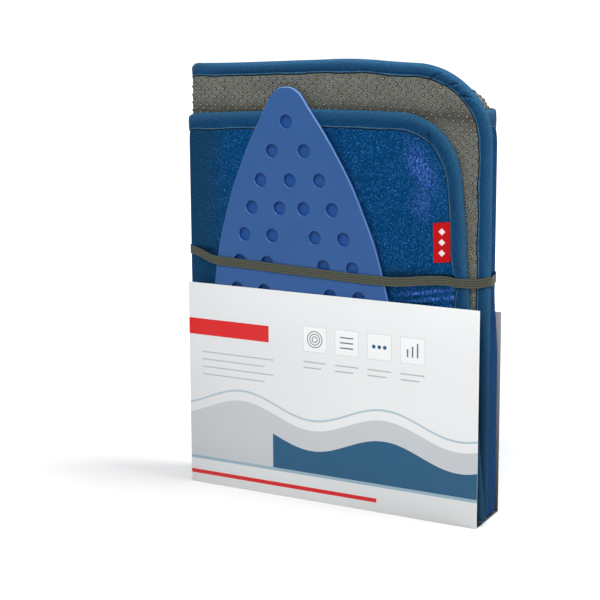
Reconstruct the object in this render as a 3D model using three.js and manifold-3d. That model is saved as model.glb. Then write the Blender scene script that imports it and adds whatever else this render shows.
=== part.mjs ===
// A table-top ironing mat as it is sold: folded lengthways once, rolled flat in five panels and
// stood on its fold in a card wrap, with a silicone iron rest held on its front by an elastic band.
// Units are millimetres. +X is to the right, -Y is the front, +Z is up, and the part stands on z = 0.

import * as THREE from 'three';
import { mergeVertices } from 'three/addons/utils/BufferGeometryUtils.js';
import Module from 'manifold-3d';

const wasm = await Module();
wasm.setup();

// Mat fabric: layers from the grey base, inside the fold, out to the ironing face
const BASE_THICKNESS = 0.55;
const FELT_THICKNESS = 0.85;
const FOIL_THICKNESS = 0.12;
const COVER_THICKNESS = 0.35;
const LAYER_GAP = 0.05;

// Edge binding: a tape folded over the edge, wider on the ironing face than on the base
const TAPE_THICKNESS = 0.25;
const TAPE_COVER_SIDE = 13.7;
const TAPE_BASE_SIDE = 10.5;
const LEAF_HALF_GAP = 0.13;

// Mat outline as folded: the front leaf is lower than the rear leaf
const FRONT_LEAF_HEIGHT = 302.5;
const REAR_LEAF_HEIGHT = 340;
const CORNER_RADIUS = 57;
const PANEL_WIDTH = 245;
const FOLD_RADIUS = 4;
const REAR_LEAF_OVERHANG = 3.7;
const FRONT_LEAF_RECESS = 17;
const SLANT_HEIGHT = 200;
const INNER_END_INSET = 8;
const INNER_LEAF_RECESS = 20;

// The rear leaf's right-hand fold leans in above the front leaf's edge
const LEAN_KNEE_HEIGHT = 320;
const LEAN_AT_KNEE = 5.5;
const LEAN_AT_TOP = 29;
const LEAN_REACH = 50;

// Iron rest
const REST_THICKNESS = 3.8;
const REST_LENGTH = 242;
const REST_WIDTH = 162;
const REST_BASE_HEIGHT = 76;
const REST_TILT = THREE.MathUtils.degToRad(3.46);
const REST_BASE_OFFSET = -21.7;
const REST_EDGE_ROUND = 0.8;
const DIMPLE_DIAMETER = 10;
const DIMPLE_DEPTH = 2.3;
const DIMPLE_ROW_PITCH = 22;
const DIMPLE_FIRST_ROW = 26.5;
const DIMPLE_EDGE_INSET = 22.3;
const DIMPLE_COLUMN_PITCH = 24;
const DIMPLE_ROWS = 9;

// Elastic band
const BAND_WIDTH = 7;
const BAND_THICKNESS = 0.6;
const BAND_HEIGHT = 178;

// Sewn label: a ribbon folded in two, its cut ends sewn in beside the binding
const LABEL_WIDTH = 13.8;
const LABEL_HEIGHT = 30;
const LABEL_CENTRE_HEIGHT = 208;
const LABEL_PLY = 0.2;
const LABEL_PLY_GAP = 0.1;

// Card wrap
const CARD_THICKNESS = 0.6;
const CARD_WIDTH = 245;
const CARD_FRONT_HEIGHT = 163;
const CARD_BACK_HEIGHT = 154;
const CARD_CREASE_GAP = 0.2;
const CARD_SIDE_INSET = 0.2;

// Play between pieces that lie against each other
const CLEARANCE = 0.3;
// Overrun of a cutting solid past the face that it opens
const CUT_OVERRUN = 1;

// How finely curves are divided
const CORNER_STEPS = 6;
const QUARTER_TURN_STEPS = 3;
const FOLD_STEPS = 4;
const DIMPLE_SIDES = 12;
const REST_OUTLINE_STEPS = 40;
const REST_ROUND_STEPS = 2;
// Stations closer to a straight's end than this share of it are left out
const STATION_SHARE = 0.002;

// Depths through one leaf, measured from the middle of the doubled strip
const TAPE_INNER_FACE = LEAF_HALF_GAP;
const BASE_DEPTH = TAPE_INNER_FACE + TAPE_THICKNESS + LAYER_GAP;
const FELT_LOWER_DEPTH = BASE_DEPTH + BASE_THICKNESS + LAYER_GAP;
const FELT_UPPER_DEPTH = FELT_LOWER_DEPTH + FELT_THICKNESS + LAYER_GAP;
const FOIL_DEPTH = FELT_UPPER_DEPTH + FELT_THICKNESS + LAYER_GAP;
const COVER_DEPTH = FOIL_DEPTH + FOIL_THICKNESS + LAYER_GAP;
const COVER_FACE = COVER_DEPTH + COVER_THICKNESS;
const TAPE_OUTER_FACE = COVER_FACE + LAYER_GAP + TAPE_THICKNESS;
const STRIP_PITCH = 2 * (TAPE_OUTER_FACE + LEAF_HALF_GAP);

// Plan depths, front to back: card, iron rest, five panels of the rolled strip, card
const PANELS = 5;
const ROLL_DEPTH = PANELS * STRIP_PITCH - 2 * LEAF_HALF_GAP;
const CARD_DEPTH = 2 * CARD_THICKNESS + REST_THICKNESS + 3 * CLEARANCE + ROLL_DEPTH;
const CARD_FRONT_FACE = -CARD_DEPTH / 2;
const REST_FRONT_FACE = CARD_FRONT_FACE + CARD_THICKNESS + CLEARANCE;
const REST_BACK_FACE = REST_FRONT_FACE + REST_THICKNESS;
const ROLL_FRONT_FACE = REST_BACK_FACE + CLEARANCE;
const FIRST_PANEL_DEPTH = ROLL_FRONT_FACE + TAPE_OUTER_FACE;
const FOLD_CENTRE_HEIGHT = CARD_THICKNESS + CLEARANCE + TAPE_OUTER_FACE;

// Plan widths of the roll, left to right
const ROLL_LEFT = -CARD_WIDTH / 2 + CARD_SIDE_INSET;
const ROLL_RIGHT = ROLL_LEFT + PANEL_WIDTH;
const REAR_LEAF_RIGHT = ROLL_RIGHT + REAR_LEAF_OVERHANG;

// Half of the fabric that goes round the bottom fold, along the middle of the leaf
const BOTTOM_HALF = (Math.PI / 2) * (TAPE_INNER_FACE + TAPE_OUTER_FACE) / 2;
// The front leaf is the outer one of the roll, so its ends fall short, by more the higher up
const SLANT_RISE = SLANT_HEIGHT - FOLD_CENTRE_HEIGHT;

// The part is centred on what sticks out furthest at the sides
const RIGHTMOST = REAR_LEAF_RIGHT + CLEARANCE + BAND_THICKNESS;
const LEFTMOST = Math.min(-CARD_WIDTH / 2, ROLL_LEFT - CLEARANCE - BAND_THICKNESS);
const CENTRE_OFFSET = (LEFTMOST + RIGHTMOST) / 2;

const FINISH = {
  cover: { color: 0x124a78, roughness: 0.5, metalness: 0.35 },
  foil: { color: 0xb9bcc0, roughness: 0.3, metalness: 0.9 },
  felt: { color: 0xb8b2a6, roughness: 1, metalness: 0 },
  base: { color: 0x565b56, roughness: 0.95, metalness: 0 },
  tape: { color: 0x22547b, roughness: 0.85, metalness: 0 },
  label: { color: 0xc8141a, roughness: 0.8, metalness: 0 },
  silicone: { color: 0x3c6199, roughness: 0.55, metalness: 0 },
  elastic: { color: 0x5a5b50, roughness: 0.9, metalness: 0 },
  card: { color: 0xe6e6e4, roughness: 0.45, metalness: 0 },
};

// The plan route of the doubled strip: straights and quarter turns, walked from the free front end

function turnRadius(span) {
  return Math.min(FOLD_RADIUS, span / 2);
}

function foldPieces(span) {
  const radius = turnRadius(span);
  const quarter = { length: radius * Math.PI / 2, radius };
  return [quarter, { length: span - 2 * radius, radius: 0 }, { ...quarter }];
}

function planRoute() {
  const leftLimit = ROLL_LEFT + TAPE_OUTER_FACE;
  const rightLimit = ROLL_RIGHT - TAPE_OUTER_FACE;
  const spans = Array.from({ length: PANELS - 1 }, (_, index) => (PANELS - 1 - index) * STRIP_PITCH);
  // The folds are at the left and the right by turns, and each pair lies inside the pair before
  const limits = spans.map((span, index) => {
    const inset = Math.floor(index / 2) * STRIP_PITCH + turnRadius(span);
    return index % 2 === 0 ? leftLimit + inset : rightLimit - inset;
  });
  const innerEnd = leftLimit + STRIP_PITCH + INNER_END_INSET;
  const pieces = [];
  let x = REAR_LEAF_RIGHT;
  spans.forEach((span, index) => {
    pieces.push({ length: Math.abs(limits[index] - x), radius: 0 }, ...foldPieces(span));
    x = limits[index];
  });
  pieces.push({ length: x - innerEnd, radius: 0 });

  const pose = { s: 0, x: REAR_LEAF_RIGHT, y: FIRST_PANEL_DEPTH, heading: Math.PI };
  return pieces.filter((piece) => piece.length > 0).map((piece) => {
    const placed = { ...piece, ...pose };
    const end = walk(placed, piece.length);
    Object.assign(pose, { s: pose.s + piece.length, x: end.x, y: end.y, heading: end.heading });
    return placed;
  });
}

// A point on one piece of the route, `run` along it. Every turn is clockwise seen from above.
function walk(piece, run) {
  if (piece.radius === 0) {
    return {
      x: piece.x + run * Math.cos(piece.heading),
      y: piece.y + run * Math.sin(piece.heading),
      heading: piece.heading,
    };
  }
  const heading = piece.heading - run / piece.radius;
  const centreX = piece.x + piece.radius * Math.sin(piece.heading);
  const centreY = piece.y - piece.radius * Math.cos(piece.heading);
  return {
    x: centreX - piece.radius * Math.sin(heading),
    y: centreY + piece.radius * Math.cos(heading),
    heading,
  };
}

const ROUTE = planRoute();
const STRIP_LENGTH = ROUTE.at(-1).s + ROUTE.at(-1).length;
const FIRST_STRAIGHT = ROUTE[0].length;
const LAST_STRAIGHT = ROUTE.at(-1).length;
// The lean is full from where the innermost right-hand fold starts, and fades out to its left
const LEAN_FULL_X = ROLL_RIGHT - TAPE_OUTER_FACE - STRIP_PITCH - turnRadius(STRIP_PITCH);
const LEAN_FROM_X = LEAN_FULL_X - LEAN_REACH;

function routePoint(s) {
  const piece = ROUTE.findLast((candidate) => candidate.s <= s) ?? ROUTE[0];
  return walk(piece, s - piece.s);
}

// Where along the strip its stations lie: the ends of each piece, steps round each turn, and the
// places where a panel crosses the line from which the right-hand folds lean.
function bodyStations() {
  const stations = [];
  ROUTE.forEach((piece, index) => {
    const isStraight = piece.radius === 0;
    const steps = isStraight ? 1 : QUARTER_TURN_STEPS;
    for (let step = 0; step < steps; step += 1) {
      stations.push(piece.s + (piece.length * step) / steps);
    }
    const end = walk(piece, piece.length);
    const crossings = [LEAN_FROM_X, LEAN_FULL_X].map((x) => (x - piece.x) / (end.x - piece.x));
    if (isStraight && index > 0) {
      const inside = crossings.filter((share) => share > STATION_SHARE && share < 1 - STATION_SHARE);
      stations.push(...inside.map((share) => piece.s + piece.length * share));
    }
  });
  return stations.filter((s) => s > 0).sort((a, b) => a - b);
}

// The stations between the rounded corners of the strip's two ends
function stationsPastCorners() {
  return bodyStations().filter((s) => s > CORNER_RADIUS && s < STRIP_LENGTH - CORNER_RADIUS);
}

// How far across the strip, from the middle of the bottom fold, a height on a leaf is
function acrossAt(height) {
  return height - FOLD_CENTRE_HEIGHT + BOTTOM_HALF;
}

// Places across the strip round the bottom fold, from the front leaf to the rear leaf
function bottomFoldRow() {
  return Array.from({ length: FOLD_STEPS + 1 }, (_, step) => BOTTOM_HALF * (1 - (2 * step) / FOLD_STEPS));
}

// How far the folds lean in at a height. It is straight between its knees, so nested layers stay apart.
function leanAt(height) {
  if (height <= FRONT_LEAF_HEIGHT) return 0;
  if (height <= LEAN_KNEE_HEIGHT) {
    return LEAN_AT_KNEE * (height - FRONT_LEAF_HEIGHT) / (LEAN_KNEE_HEIGHT - FRONT_LEAF_HEIGHT);
  }
  const share = (height - LEAN_KNEE_HEIGHT) / (REAR_LEAF_HEIGHT - LEAN_KNEE_HEIGHT);
  return LEAN_AT_KNEE + share * (LEAN_AT_TOP - LEAN_AT_KNEE);
}

// Maps the flat mat to its folded shape. `s` runs along the strip, `u` across it from the bottom
// fold (up the front leaf when positive, up the rear leaf when negative), and `depth` is the
// distance from the middle of the doubled strip.
function folded(s, u, depth) {
  const frontShare = THREE.MathUtils.clamp((u / BOTTOM_HALF + 1) / 2, 0, 1);
  const frontFade = Math.max(0, 1 - s / FIRST_STRAIGHT);
  const innerFade = Math.max(0, 1 - (STRIP_LENGTH - s) / LAST_STRAIGHT);
  const slantShare = THREE.MathUtils.clamp((u - BOTTOM_HALF) / SLANT_RISE, 0, 1);
  const skew = slantShare * (FRONT_LEAF_RECESS * frontFade - INNER_LEAF_RECESS * innerFade);
  const place = routePoint(s + skew);
  const angle = (1 - frontShare) * Math.PI;
  const outward = depth * Math.cos(angle);
  const rise = Math.max(0, Math.abs(u) - BOTTOM_HALF);
  const height = FOLD_CENTRE_HEIGHT + rise - depth * Math.sin(angle);
  let x = place.x - outward * Math.sin(place.heading);
  const y = place.y + outward * Math.cos(place.heading);
  if (s > FIRST_STRAIGHT) {
    x -= leanAt(height) * THREE.MathUtils.clamp((x - LEAN_FROM_X) / LEAN_REACH, 0, 1);
  }
  return new THREE.Vector3(x, y, height);
}

const FRONT_EDGE = acrossAt(FRONT_LEAF_HEIGHT);
const REAR_EDGE = acrossAt(REAR_LEAF_HEIGHT);

// A closed solid through a row of sections of equal point count. A ring of sections closes on
// itself; otherwise both ends are filled, each section being two equal rows that run out and back.
function loft(sections, isRing) {
  const count = sections[0].length;
  const positions = sections.flat().flatMap((point) => [point.x, point.y, point.z]);
  const index = [];
  const spans = isRing ? sections.length : sections.length - 1;
  for (let i = 0; i < spans; i += 1) {
    const here = i * count;
    const next = ((i + 1) % sections.length) * count;
    for (let j = 0; j < count; j += 1) {
      const k = (j + 1) % count;
      index.push(here + j, here + k, next + k, here + j, next + k, next + j);
    }
  }
  if (!isRing) {
    const last = (sections.length - 1) * count;
    for (let j = 0; j < count / 2 - 1; j += 1) {
      const opposite = count - 1 - j;
      index.push(j, opposite, opposite - 1, j, opposite - 1, j + 1);
      index.push(last + j, last + opposite - 1, last + opposite, last + j, last + j + 1, last + opposite - 1);
    }
  }
  const geometry = new THREE.BufferGeometry();
  geometry.setAttribute('position', new THREE.Float32BufferAttribute(positions, 3));
  geometry.setIndex(index);
  return facingOut(geometry);
}

function signedVolume(geometry) {
  const position = geometry.getAttribute('position');
  const index = geometry.getIndex().array;
  const [a, b, c] = [new THREE.Vector3(), new THREE.Vector3(), new THREE.Vector3()];
  let volume = 0;
  for (let i = 0; i < index.length; i += 3) {
    a.fromBufferAttribute(position, index[i]);
    b.fromBufferAttribute(position, index[i + 1]);
    c.fromBufferAttribute(position, index[i + 2]);
    volume += a.dot(b.cross(c)) / 6;
  }
  return volume;
}

function facingOut(geometry) {
  if (signedVolume(geometry) < 0) {
    geometry.setIndex([...geometry.getIndex().array].reverse());
  }
  return geometry;
}

// How far below its straight top an edge lies at a distance in from a rounded end
function cornerDrop(distance, radius) {
  if (distance >= radius) return 0;
  return radius - Math.sqrt(Math.max(0, radius ** 2 - (radius - distance) ** 2));
}

// One layer of the mat, between two depths. Its edge lies inside the binding.
function matLayer(innerDepth, outerDepth) {
  const inset = TAPE_THICKNESS + LAYER_GAP;
  const radius = CORNER_RADIUS - inset;
  const quarterSteps = Array.from({ length: CORNER_STEPS }, (_, step) => step / CORNER_STEPS);
  const run = quarterSteps.map((share) => inset + radius * (1 - Math.cos(share * Math.PI / 2)));
  const stations = [
    ...run,
    CORNER_RADIUS,
    ...stationsPastCorners(),
    STRIP_LENGTH - CORNER_RADIUS,
    ...run.map((s) => STRIP_LENGTH - s).reverse(),
  ];
  const sections = stations.map((s) => {
    const fromEnd = Math.min(s, STRIP_LENGTH - s) - inset;
    const drop = cornerDrop(fromEnd, radius);
    const row = acrossLayer(inset + drop);
    const out = row.map((u) => folded(s, u, outerDepth));
    const back = row.map((u) => folded(s, u, innerDepth)).reverse();
    return [...out, ...back];
  });
  return loft(sections, false);
}

// Places across the strip, from the front leaf's edge round the bottom fold to the rear leaf's
function acrossLayer(drop) {
  const frontTop = FRONT_EDGE - drop;
  const rearTop = REAR_EDGE - drop;
  const insetTop = REAR_EDGE - TAPE_THICKNESS - LAYER_GAP;
  const rearShare = (rearTop - BOTTOM_HALF) / (insetTop - BOTTOM_HALF);
  const leanLevels = [FRONT_LEAF_HEIGHT, LEAN_KNEE_HEIGHT].map(
    (height) => BOTTOM_HALF + (height - FOLD_CENTRE_HEIGHT) * rearShare,
  );
  const rear = leanLevels.map((level) => -level);
  return [frontTop, acrossAt(SLANT_HEIGHT), ...bottomFoldRow(), ...rear, -rearTop];
}

// The binding's section at one place on the mat's edge. `inward` points into the mat, along and
// across the strip.
function tapeSection(s, u, inward) {
  const at = (into, depth) => folded(s + inward.s * into, u + inward.u * into, depth);
  const coverInside = COVER_FACE + LAYER_GAP;
  const baseInside = TAPE_INNER_FACE + TAPE_THICKNESS;
  return [
    at(TAPE_COVER_SIDE, TAPE_OUTER_FACE),
    at(0, TAPE_OUTER_FACE),
    at(0, TAPE_INNER_FACE),
    at(TAPE_BASE_SIDE, TAPE_INNER_FACE),
    at(TAPE_BASE_SIDE, baseInside),
    at(TAPE_THICKNESS, baseInside),
    at(TAPE_THICKNESS, coverInside),
    at(TAPE_COVER_SIDE, coverInside),
  ];
}

// A rounded corner of the edge, from the strip's end `endS` to the leaf's edge `edgeU`. `intoS` is
// the direction along the strip from that end into the mat, and `sideU` the leaf's side of the fold.
function tapeCorner(endS, intoS, edgeU, sideU) {
  return Array.from({ length: CORNER_STEPS + 1 }, (_, step) => {
    const angle = (step / CORNER_STEPS) * Math.PI / 2;
    const s = endS + intoS * CORNER_RADIUS * (1 - Math.cos(angle));
    const u = edgeU - sideU * CORNER_RADIUS * (1 - Math.sin(angle));
    return tapeSection(s, u, { s: intoS * Math.cos(angle), u: -sideU * Math.sin(angle) });
  });
}

// The binding goes once round the whole mat: up the front leaf's free end, along its top edge to
// the inner end, round that end's bottom fold, and back along the rear leaf's top edge.
function edgeBinding() {
  const body = stationsPastCorners();
  const frontTop = body.map((s) => tapeSection(s, FRONT_EDGE, { s: 0, u: -1 }));
  const rearTop = body.map((s) => tapeSection(s, -REAR_EDGE, { s: 0, u: 1 })).reverse();
  const endRow = [acrossAt(SLANT_HEIGHT), ...bottomFoldRow()];
  const innerEnd = endRow.map((u) => tapeSection(STRIP_LENGTH, u, { s: -1, u: 0 }));
  const frontEnd = endRow.map((u) => tapeSection(0, u, { s: 1, u: 0 })).reverse();
  return loft([
    ...tapeCorner(0, 1, FRONT_EDGE, 1),
    ...frontTop,
    ...tapeCorner(STRIP_LENGTH, -1, FRONT_EDGE, 1).reverse(),
    ...innerEnd,
    ...tapeCorner(STRIP_LENGTH, -1, -REAR_EDGE, -1),
    ...rearTop,
    ...tapeCorner(0, 1, -REAR_EDGE, -1).reverse(),
    ...frontEnd,
  ], true);
}

// Iron rest: half-width shares at length shares, from the tip, and its outline through them
const REST_LENGTH_SHARES = [
  0, 0.006, 0.026, 0.07, 0.145, 0.22, 0.31, 0.4, 0.49, 0.58, 0.7, 0.82, 0.9, 0.958, 0.99, 1,
];
const REST_WIDTH_SHARES = [
  0, 0.07, 0.14, 0.235, 0.365, 0.485, 0.615, 0.73, 0.82, 0.88, 0.945, 0.985, 0.99, 0.94, 0.8, 0,
];

function restHalfWidth(fromTip) {
  const share = fromTip / REST_LENGTH;
  const next = Math.max(1, REST_LENGTH_SHARES.findIndex((value) => value >= share));
  const before = REST_LENGTH_SHARES[next - 1];
  const blend = (share - before) / (REST_LENGTH_SHARES[next] - before);
  const width = THREE.MathUtils.lerp(REST_WIDTH_SHARES[next - 1], REST_WIDTH_SHARES[next], blend);
  return width * REST_WIDTH / 2;
}

function restOutline() {
  const half = REST_LENGTH_SHARES.map((share, index) => new THREE.Vector2(
    REST_WIDTH_SHARES[index] * REST_WIDTH / 2,
    -share * REST_LENGTH,
  ));
  const curve = new THREE.SplineCurve(half);
  const right = curve.getSpacedPoints(REST_OUTLINE_STEPS);
  const left = right.slice(1, -1).reverse().map((point) => new THREE.Vector2(-point.x, point.y));
  return new THREE.Shape([...right, ...left].reverse());
}

// Dimples follow the outline: one, two, three, then four to a row, in two columns each side
function dimplePlaces() {
  return Array.from({ length: DIMPLE_ROWS }, (_, row) => {
    const fromTip = DIMPLE_FIRST_ROW + row * DIMPLE_ROW_PITCH;
    const outer = restHalfWidth(fromTip) - DIMPLE_EDGE_INSET;
    const columns = [[0], [-outer, outer], [-outer, 0, outer]][row]
      ?? [-outer, DIMPLE_COLUMN_PITCH - outer, outer - DIMPLE_COLUMN_PITCH, outer];
    return columns.map((x) => ({ x, fromTip }));
  }).flat();
}

function toSolid(geometry) {
  const bare = geometry.clone();
  bare.deleteAttribute('normal');
  bare.deleteAttribute('uv');
  const merged = mergeVertices(bare);
  return new wasm.Manifold(new wasm.Mesh({
    numProp: 3,
    vertProperties: merged.getAttribute('position').array,
    triVerts: new Uint32Array(merged.getIndex().array),
  }));
}

function toGeometry(solid) {
  const mesh = solid.getMesh();
  const geometry = new THREE.BufferGeometry();
  geometry.setAttribute('position', new THREE.Float32BufferAttribute(mesh.vertProperties, 3));
  geometry.setIndex([...mesh.triVerts]);
  return geometry;
}

// The rest lies with its tip up and its dimpled face to the front
function ironRest() {
  const plate = new THREE.ExtrudeGeometry(restOutline(), {
    depth: REST_THICKNESS - 2 * REST_EDGE_ROUND,
    bevelThickness: REST_EDGE_ROUND,
    bevelSize: REST_EDGE_ROUND,
    bevelOffset: -REST_EDGE_ROUND,
    bevelSegments: REST_ROUND_STEPS,
    steps: 1,
  });
  plate.translate(0, 0, REST_EDGE_ROUND);
  let solid = toSolid(plate);
  dimplePlaces().forEach(({ x, fromTip }) => {
    const cutter = new THREE.CylinderGeometry(
      DIMPLE_DIAMETER / 2,
      DIMPLE_DIAMETER / 2,
      DIMPLE_DEPTH + CUT_OVERRUN,
      DIMPLE_SIDES,
    );
    cutter.rotateX(Math.PI / 2);
    cutter.translate(x, -fromTip, REST_THICKNESS + (CUT_OVERRUN - DIMPLE_DEPTH) / 2);
    solid = solid.subtract(toSolid(cutter));
  });
  const geometry = toGeometry(solid);
  geometry.rotateX(Math.PI / 2);
  return geometry;
}

// Where the rest's tip is, with the middle of its base at its named place
function restPlace() {
  const rise = REST_LENGTH * Math.cos(REST_TILT);
  const sway = REST_LENGTH * Math.sin(REST_TILT);
  return new THREE.Vector3(REST_BASE_OFFSET - sway, REST_BACK_FACE, REST_BASE_HEIGHT + rise);
}

// Elastic band: the convex loop round everything it holds, seen from above

function convexLoop(points) {
  const sorted = [...points].sort((a, b) => a.x - b.x || a.y - b.y);
  const chain = (row) => {
    const kept = [];
    row.forEach((point) => {
      while (kept.length > 1) {
        const [before, last] = kept.slice(-2);
        const bend = last.clone().sub(before).cross(point.clone().sub(last));
        if (bend > 0) break;
        kept.pop();
      }
      kept.push(point);
    });
    return kept.slice(0, -1);
  };
  return [...chain(sorted), ...chain(sorted.reverse())];
}

// The loop moved outwards, with each corner cut across so that its inside keeps its distance
function offsetLoop(loop, distance) {
  return loop.flatMap((point, index) => {
    const before = loop.at(index - 1);
    const after = loop[(index + 1) % loop.length];
    return [point.clone().sub(before), after.clone().sub(point)].map((edge) => {
      const outward = new THREE.Vector2(edge.y, -edge.x).normalize();
      return point.clone().addScaledVector(outward, distance);
    });
  });
}

function bandContacts() {
  const restMiddle = restPlace().x;
  const restReach = REST_WIDTH / 2 + REST_LENGTH * Math.sin(REST_TILT);
  const frontOfRearLeaf = FIRST_PANEL_DEPTH + TAPE_INNER_FACE;
  const backOfRearLeaf = FIRST_PANEL_DEPTH + TAPE_OUTER_FACE;
  const frontLeafEdge = folded(0, acrossAt(BAND_HEIGHT), TAPE_OUTER_FACE);
  const contacts = [
    new THREE.Vector2(restMiddle - REST_WIDTH / 2, REST_FRONT_FACE),
    new THREE.Vector2(restMiddle + restReach, REST_FRONT_FACE),
    new THREE.Vector2(frontLeafEdge.x, ROLL_FRONT_FACE),
    new THREE.Vector2(REAR_LEAF_RIGHT, frontOfRearLeaf),
    new THREE.Vector2(REAR_LEAF_RIGHT, backOfRearLeaf),
  ];
  bodyStations().filter((s) => s > CORNER_RADIUS).forEach((s) => {
    const point = folded(s, BOTTOM_HALF, TAPE_OUTER_FACE);
    contacts.push(new THREE.Vector2(point.x, point.y));
  });
  return contacts;
}

function elasticBand() {
  const loop = convexLoop(bandContacts());
  const shape = new THREE.Shape(offsetLoop(loop, CLEARANCE + BAND_THICKNESS));
  shape.holes.push(new THREE.Path(offsetLoop(loop, CLEARANCE)));
  const band = new THREE.ExtrudeGeometry(shape, { depth: BAND_WIDTH, bevelEnabled: false, steps: 1 });
  band.translate(0, 0, BAND_HEIGHT - BAND_WIDTH / 2);
  return band;
}

// Sewn label: two plies joined by a fold at the free edge, upright beside the binding
function sewnLabel() {
  const thickness = 2 * LABEL_PLY + LABEL_PLY_GAP;
  const outline = new THREE.Shape([
    new THREE.Vector2(0, 0),
    new THREE.Vector2(-LABEL_WIDTH, 0),
    new THREE.Vector2(-LABEL_WIDTH, -thickness),
    new THREE.Vector2(0, -thickness),
    new THREE.Vector2(0, -thickness + LABEL_PLY),
    new THREE.Vector2(-LABEL_WIDTH + LABEL_PLY, -thickness + LABEL_PLY),
    new THREE.Vector2(-LABEL_WIDTH + LABEL_PLY, -LABEL_PLY),
    new THREE.Vector2(0, -LABEL_PLY),
  ]);
  const label = new THREE.ExtrudeGeometry(outline, { depth: LABEL_HEIGHT, bevelEnabled: false, steps: 1 });
  label.translate(0, 0, -LABEL_HEIGHT / 2);
  return label;
}

function labelPlace() {
  const seam = folded(TAPE_COVER_SIDE, acrossAt(LABEL_CENTRE_HEIGHT), COVER_FACE);
  return new THREE.Vector3(seam.x - CLEARANCE, seam.y - CLEARANCE, LABEL_CENTRE_HEIGHT);
}

function cardPanel(depth, height) {
  return new THREE.BoxGeometry(CARD_WIDTH, depth, height);
}

const part = new THREE.Group();
part.position.x = -CENTRE_OFFSET;

function addPiece(name, geometry, finish, place = new THREE.Vector3(), turn = 0) {
  const mesh = new THREE.Mesh(geometry, new THREE.MeshStandardMaterial(finish));
  mesh.name = name;
  mesh.position.copy(place);
  mesh.rotation.y = turn;
  part.add(mesh);
}

addPiece('non_slip_base', matLayer(BASE_DEPTH, BASE_DEPTH + BASE_THICKNESS), FINISH.base);
addPiece('felt_lower', matLayer(FELT_LOWER_DEPTH, FELT_LOWER_DEPTH + FELT_THICKNESS), FINISH.felt);
addPiece('felt_upper', matLayer(FELT_UPPER_DEPTH, FELT_UPPER_DEPTH + FELT_THICKNESS), FINISH.felt);
addPiece('reflective_layer', matLayer(FOIL_DEPTH, FOIL_DEPTH + FOIL_THICKNESS), FINISH.foil);
addPiece('top_cover', matLayer(COVER_DEPTH, COVER_FACE), FINISH.cover);
addPiece('edge_binding', edgeBinding(), FINISH.tape);
addPiece('sewn_label', sewnLabel(), FINISH.label, labelPlace());
addPiece('iron_rest', ironRest(), FINISH.silicone, restPlace(), -REST_TILT);
addPiece('elastic_band', elasticBand(), FINISH.elastic);

const creaseInset = CARD_THICKNESS + CARD_CREASE_GAP;
const panelMiddle = (CARD_DEPTH - CARD_THICKNESS) / 2;
addPiece(
  'card_bottom_panel',
  cardPanel(CARD_DEPTH - 2 * creaseInset, CARD_THICKNESS),
  FINISH.card,
  new THREE.Vector3(0, 0, CARD_THICKNESS / 2),
);
addPiece(
  'card_front_panel',
  cardPanel(CARD_THICKNESS, CARD_FRONT_HEIGHT),
  FINISH.card,
  new THREE.Vector3(0, -panelMiddle, CARD_FRONT_HEIGHT / 2),
);
addPiece(
  'card_back_panel',
  cardPanel(CARD_THICKNESS, CARD_BACK_HEIGHT),
  FINISH.card,
  new THREE.Vector3(0, panelMiddle, CARD_BACK_HEIGHT / 2),
);

export default part;
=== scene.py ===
"""The looks of a folded table-top ironing mat in its card wrap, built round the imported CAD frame.

Sizes are in millimetres unless a name says otherwise, and meshes are written in metres. +X is to the
right, -Y is the front and +Z is up, as in the frame.
"""

from __future__ import annotations

import logging
import math
from collections.abc import Callable
from dataclasses import dataclass
from enum import Enum

import bpy
import numpy as np
from mathutils import Matrix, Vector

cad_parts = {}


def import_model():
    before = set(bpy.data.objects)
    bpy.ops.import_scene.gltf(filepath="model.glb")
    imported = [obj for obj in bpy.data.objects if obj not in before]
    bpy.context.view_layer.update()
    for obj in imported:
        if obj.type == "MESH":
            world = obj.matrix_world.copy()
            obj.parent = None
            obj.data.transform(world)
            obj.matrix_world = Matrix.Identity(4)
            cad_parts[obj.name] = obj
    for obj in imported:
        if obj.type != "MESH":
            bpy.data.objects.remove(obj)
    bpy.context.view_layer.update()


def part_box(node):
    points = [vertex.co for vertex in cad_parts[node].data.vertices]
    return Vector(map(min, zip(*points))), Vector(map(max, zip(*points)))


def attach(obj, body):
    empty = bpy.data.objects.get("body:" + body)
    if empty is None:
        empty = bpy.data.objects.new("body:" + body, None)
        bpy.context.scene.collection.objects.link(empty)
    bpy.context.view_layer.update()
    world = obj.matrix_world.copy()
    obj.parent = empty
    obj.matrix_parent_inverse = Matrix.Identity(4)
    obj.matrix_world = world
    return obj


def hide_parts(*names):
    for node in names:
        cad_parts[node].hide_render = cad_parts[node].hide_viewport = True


LOG = logging.getLogger("ironing_mat")
MM = 0.001
Piece = bpy.types.Object
Material = bpy.types.Material
Socket = bpy.types.NodeSocket
Tone = tuple[int, int, int]


class Ply(Enum):
    """The layers of the mat, from the base inside the fold to the ironing face."""

    BASE = "mat_base"
    FELT_LOWER = "mat_felt_lower"
    FELT_UPPER = "mat_felt_upper"
    FOIL = "mat_foil"
    COVER = "mat_cover"


class Mark(Enum):
    """The kinds of mark in the card's print."""

    BAR = "bar"
    DISC = "disc"
    RING = "ring"
    WAVE = "wave"
    HILL = "hill"


@dataclass(frozen=True)
class MatSizes:
    """Sizes of the mat and of its folds."""

    base: float = 0.55
    felt: float = 0.85
    foil: float = 0.12
    cover: float = 0.35
    ply_gap: float = 0.05
    tape: float = 0.25
    tape_cover_side: float = 13.7
    tape_base_side: float = 10.5
    half_gap: float = 0.13
    front_height: float = 302.5
    rear_height: float = 340.0
    corner_radius: float = 57.0
    panel_width: float = 245.0
    fold_radius: float = 4.0
    rear_overhang: float = 3.7
    front_recess: float = 17.0
    slant_height: float = 200.0
    inner_end_inset: float = 8.0
    inner_recess: float = 20.0
    lean_reach: float = 150.0
    top_press: float = 0.48
    corner_ease: float = 3.5
    roll_shift: float = 6.3
    left_squeeze: float = 0.26
    panels: int = 5


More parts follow.
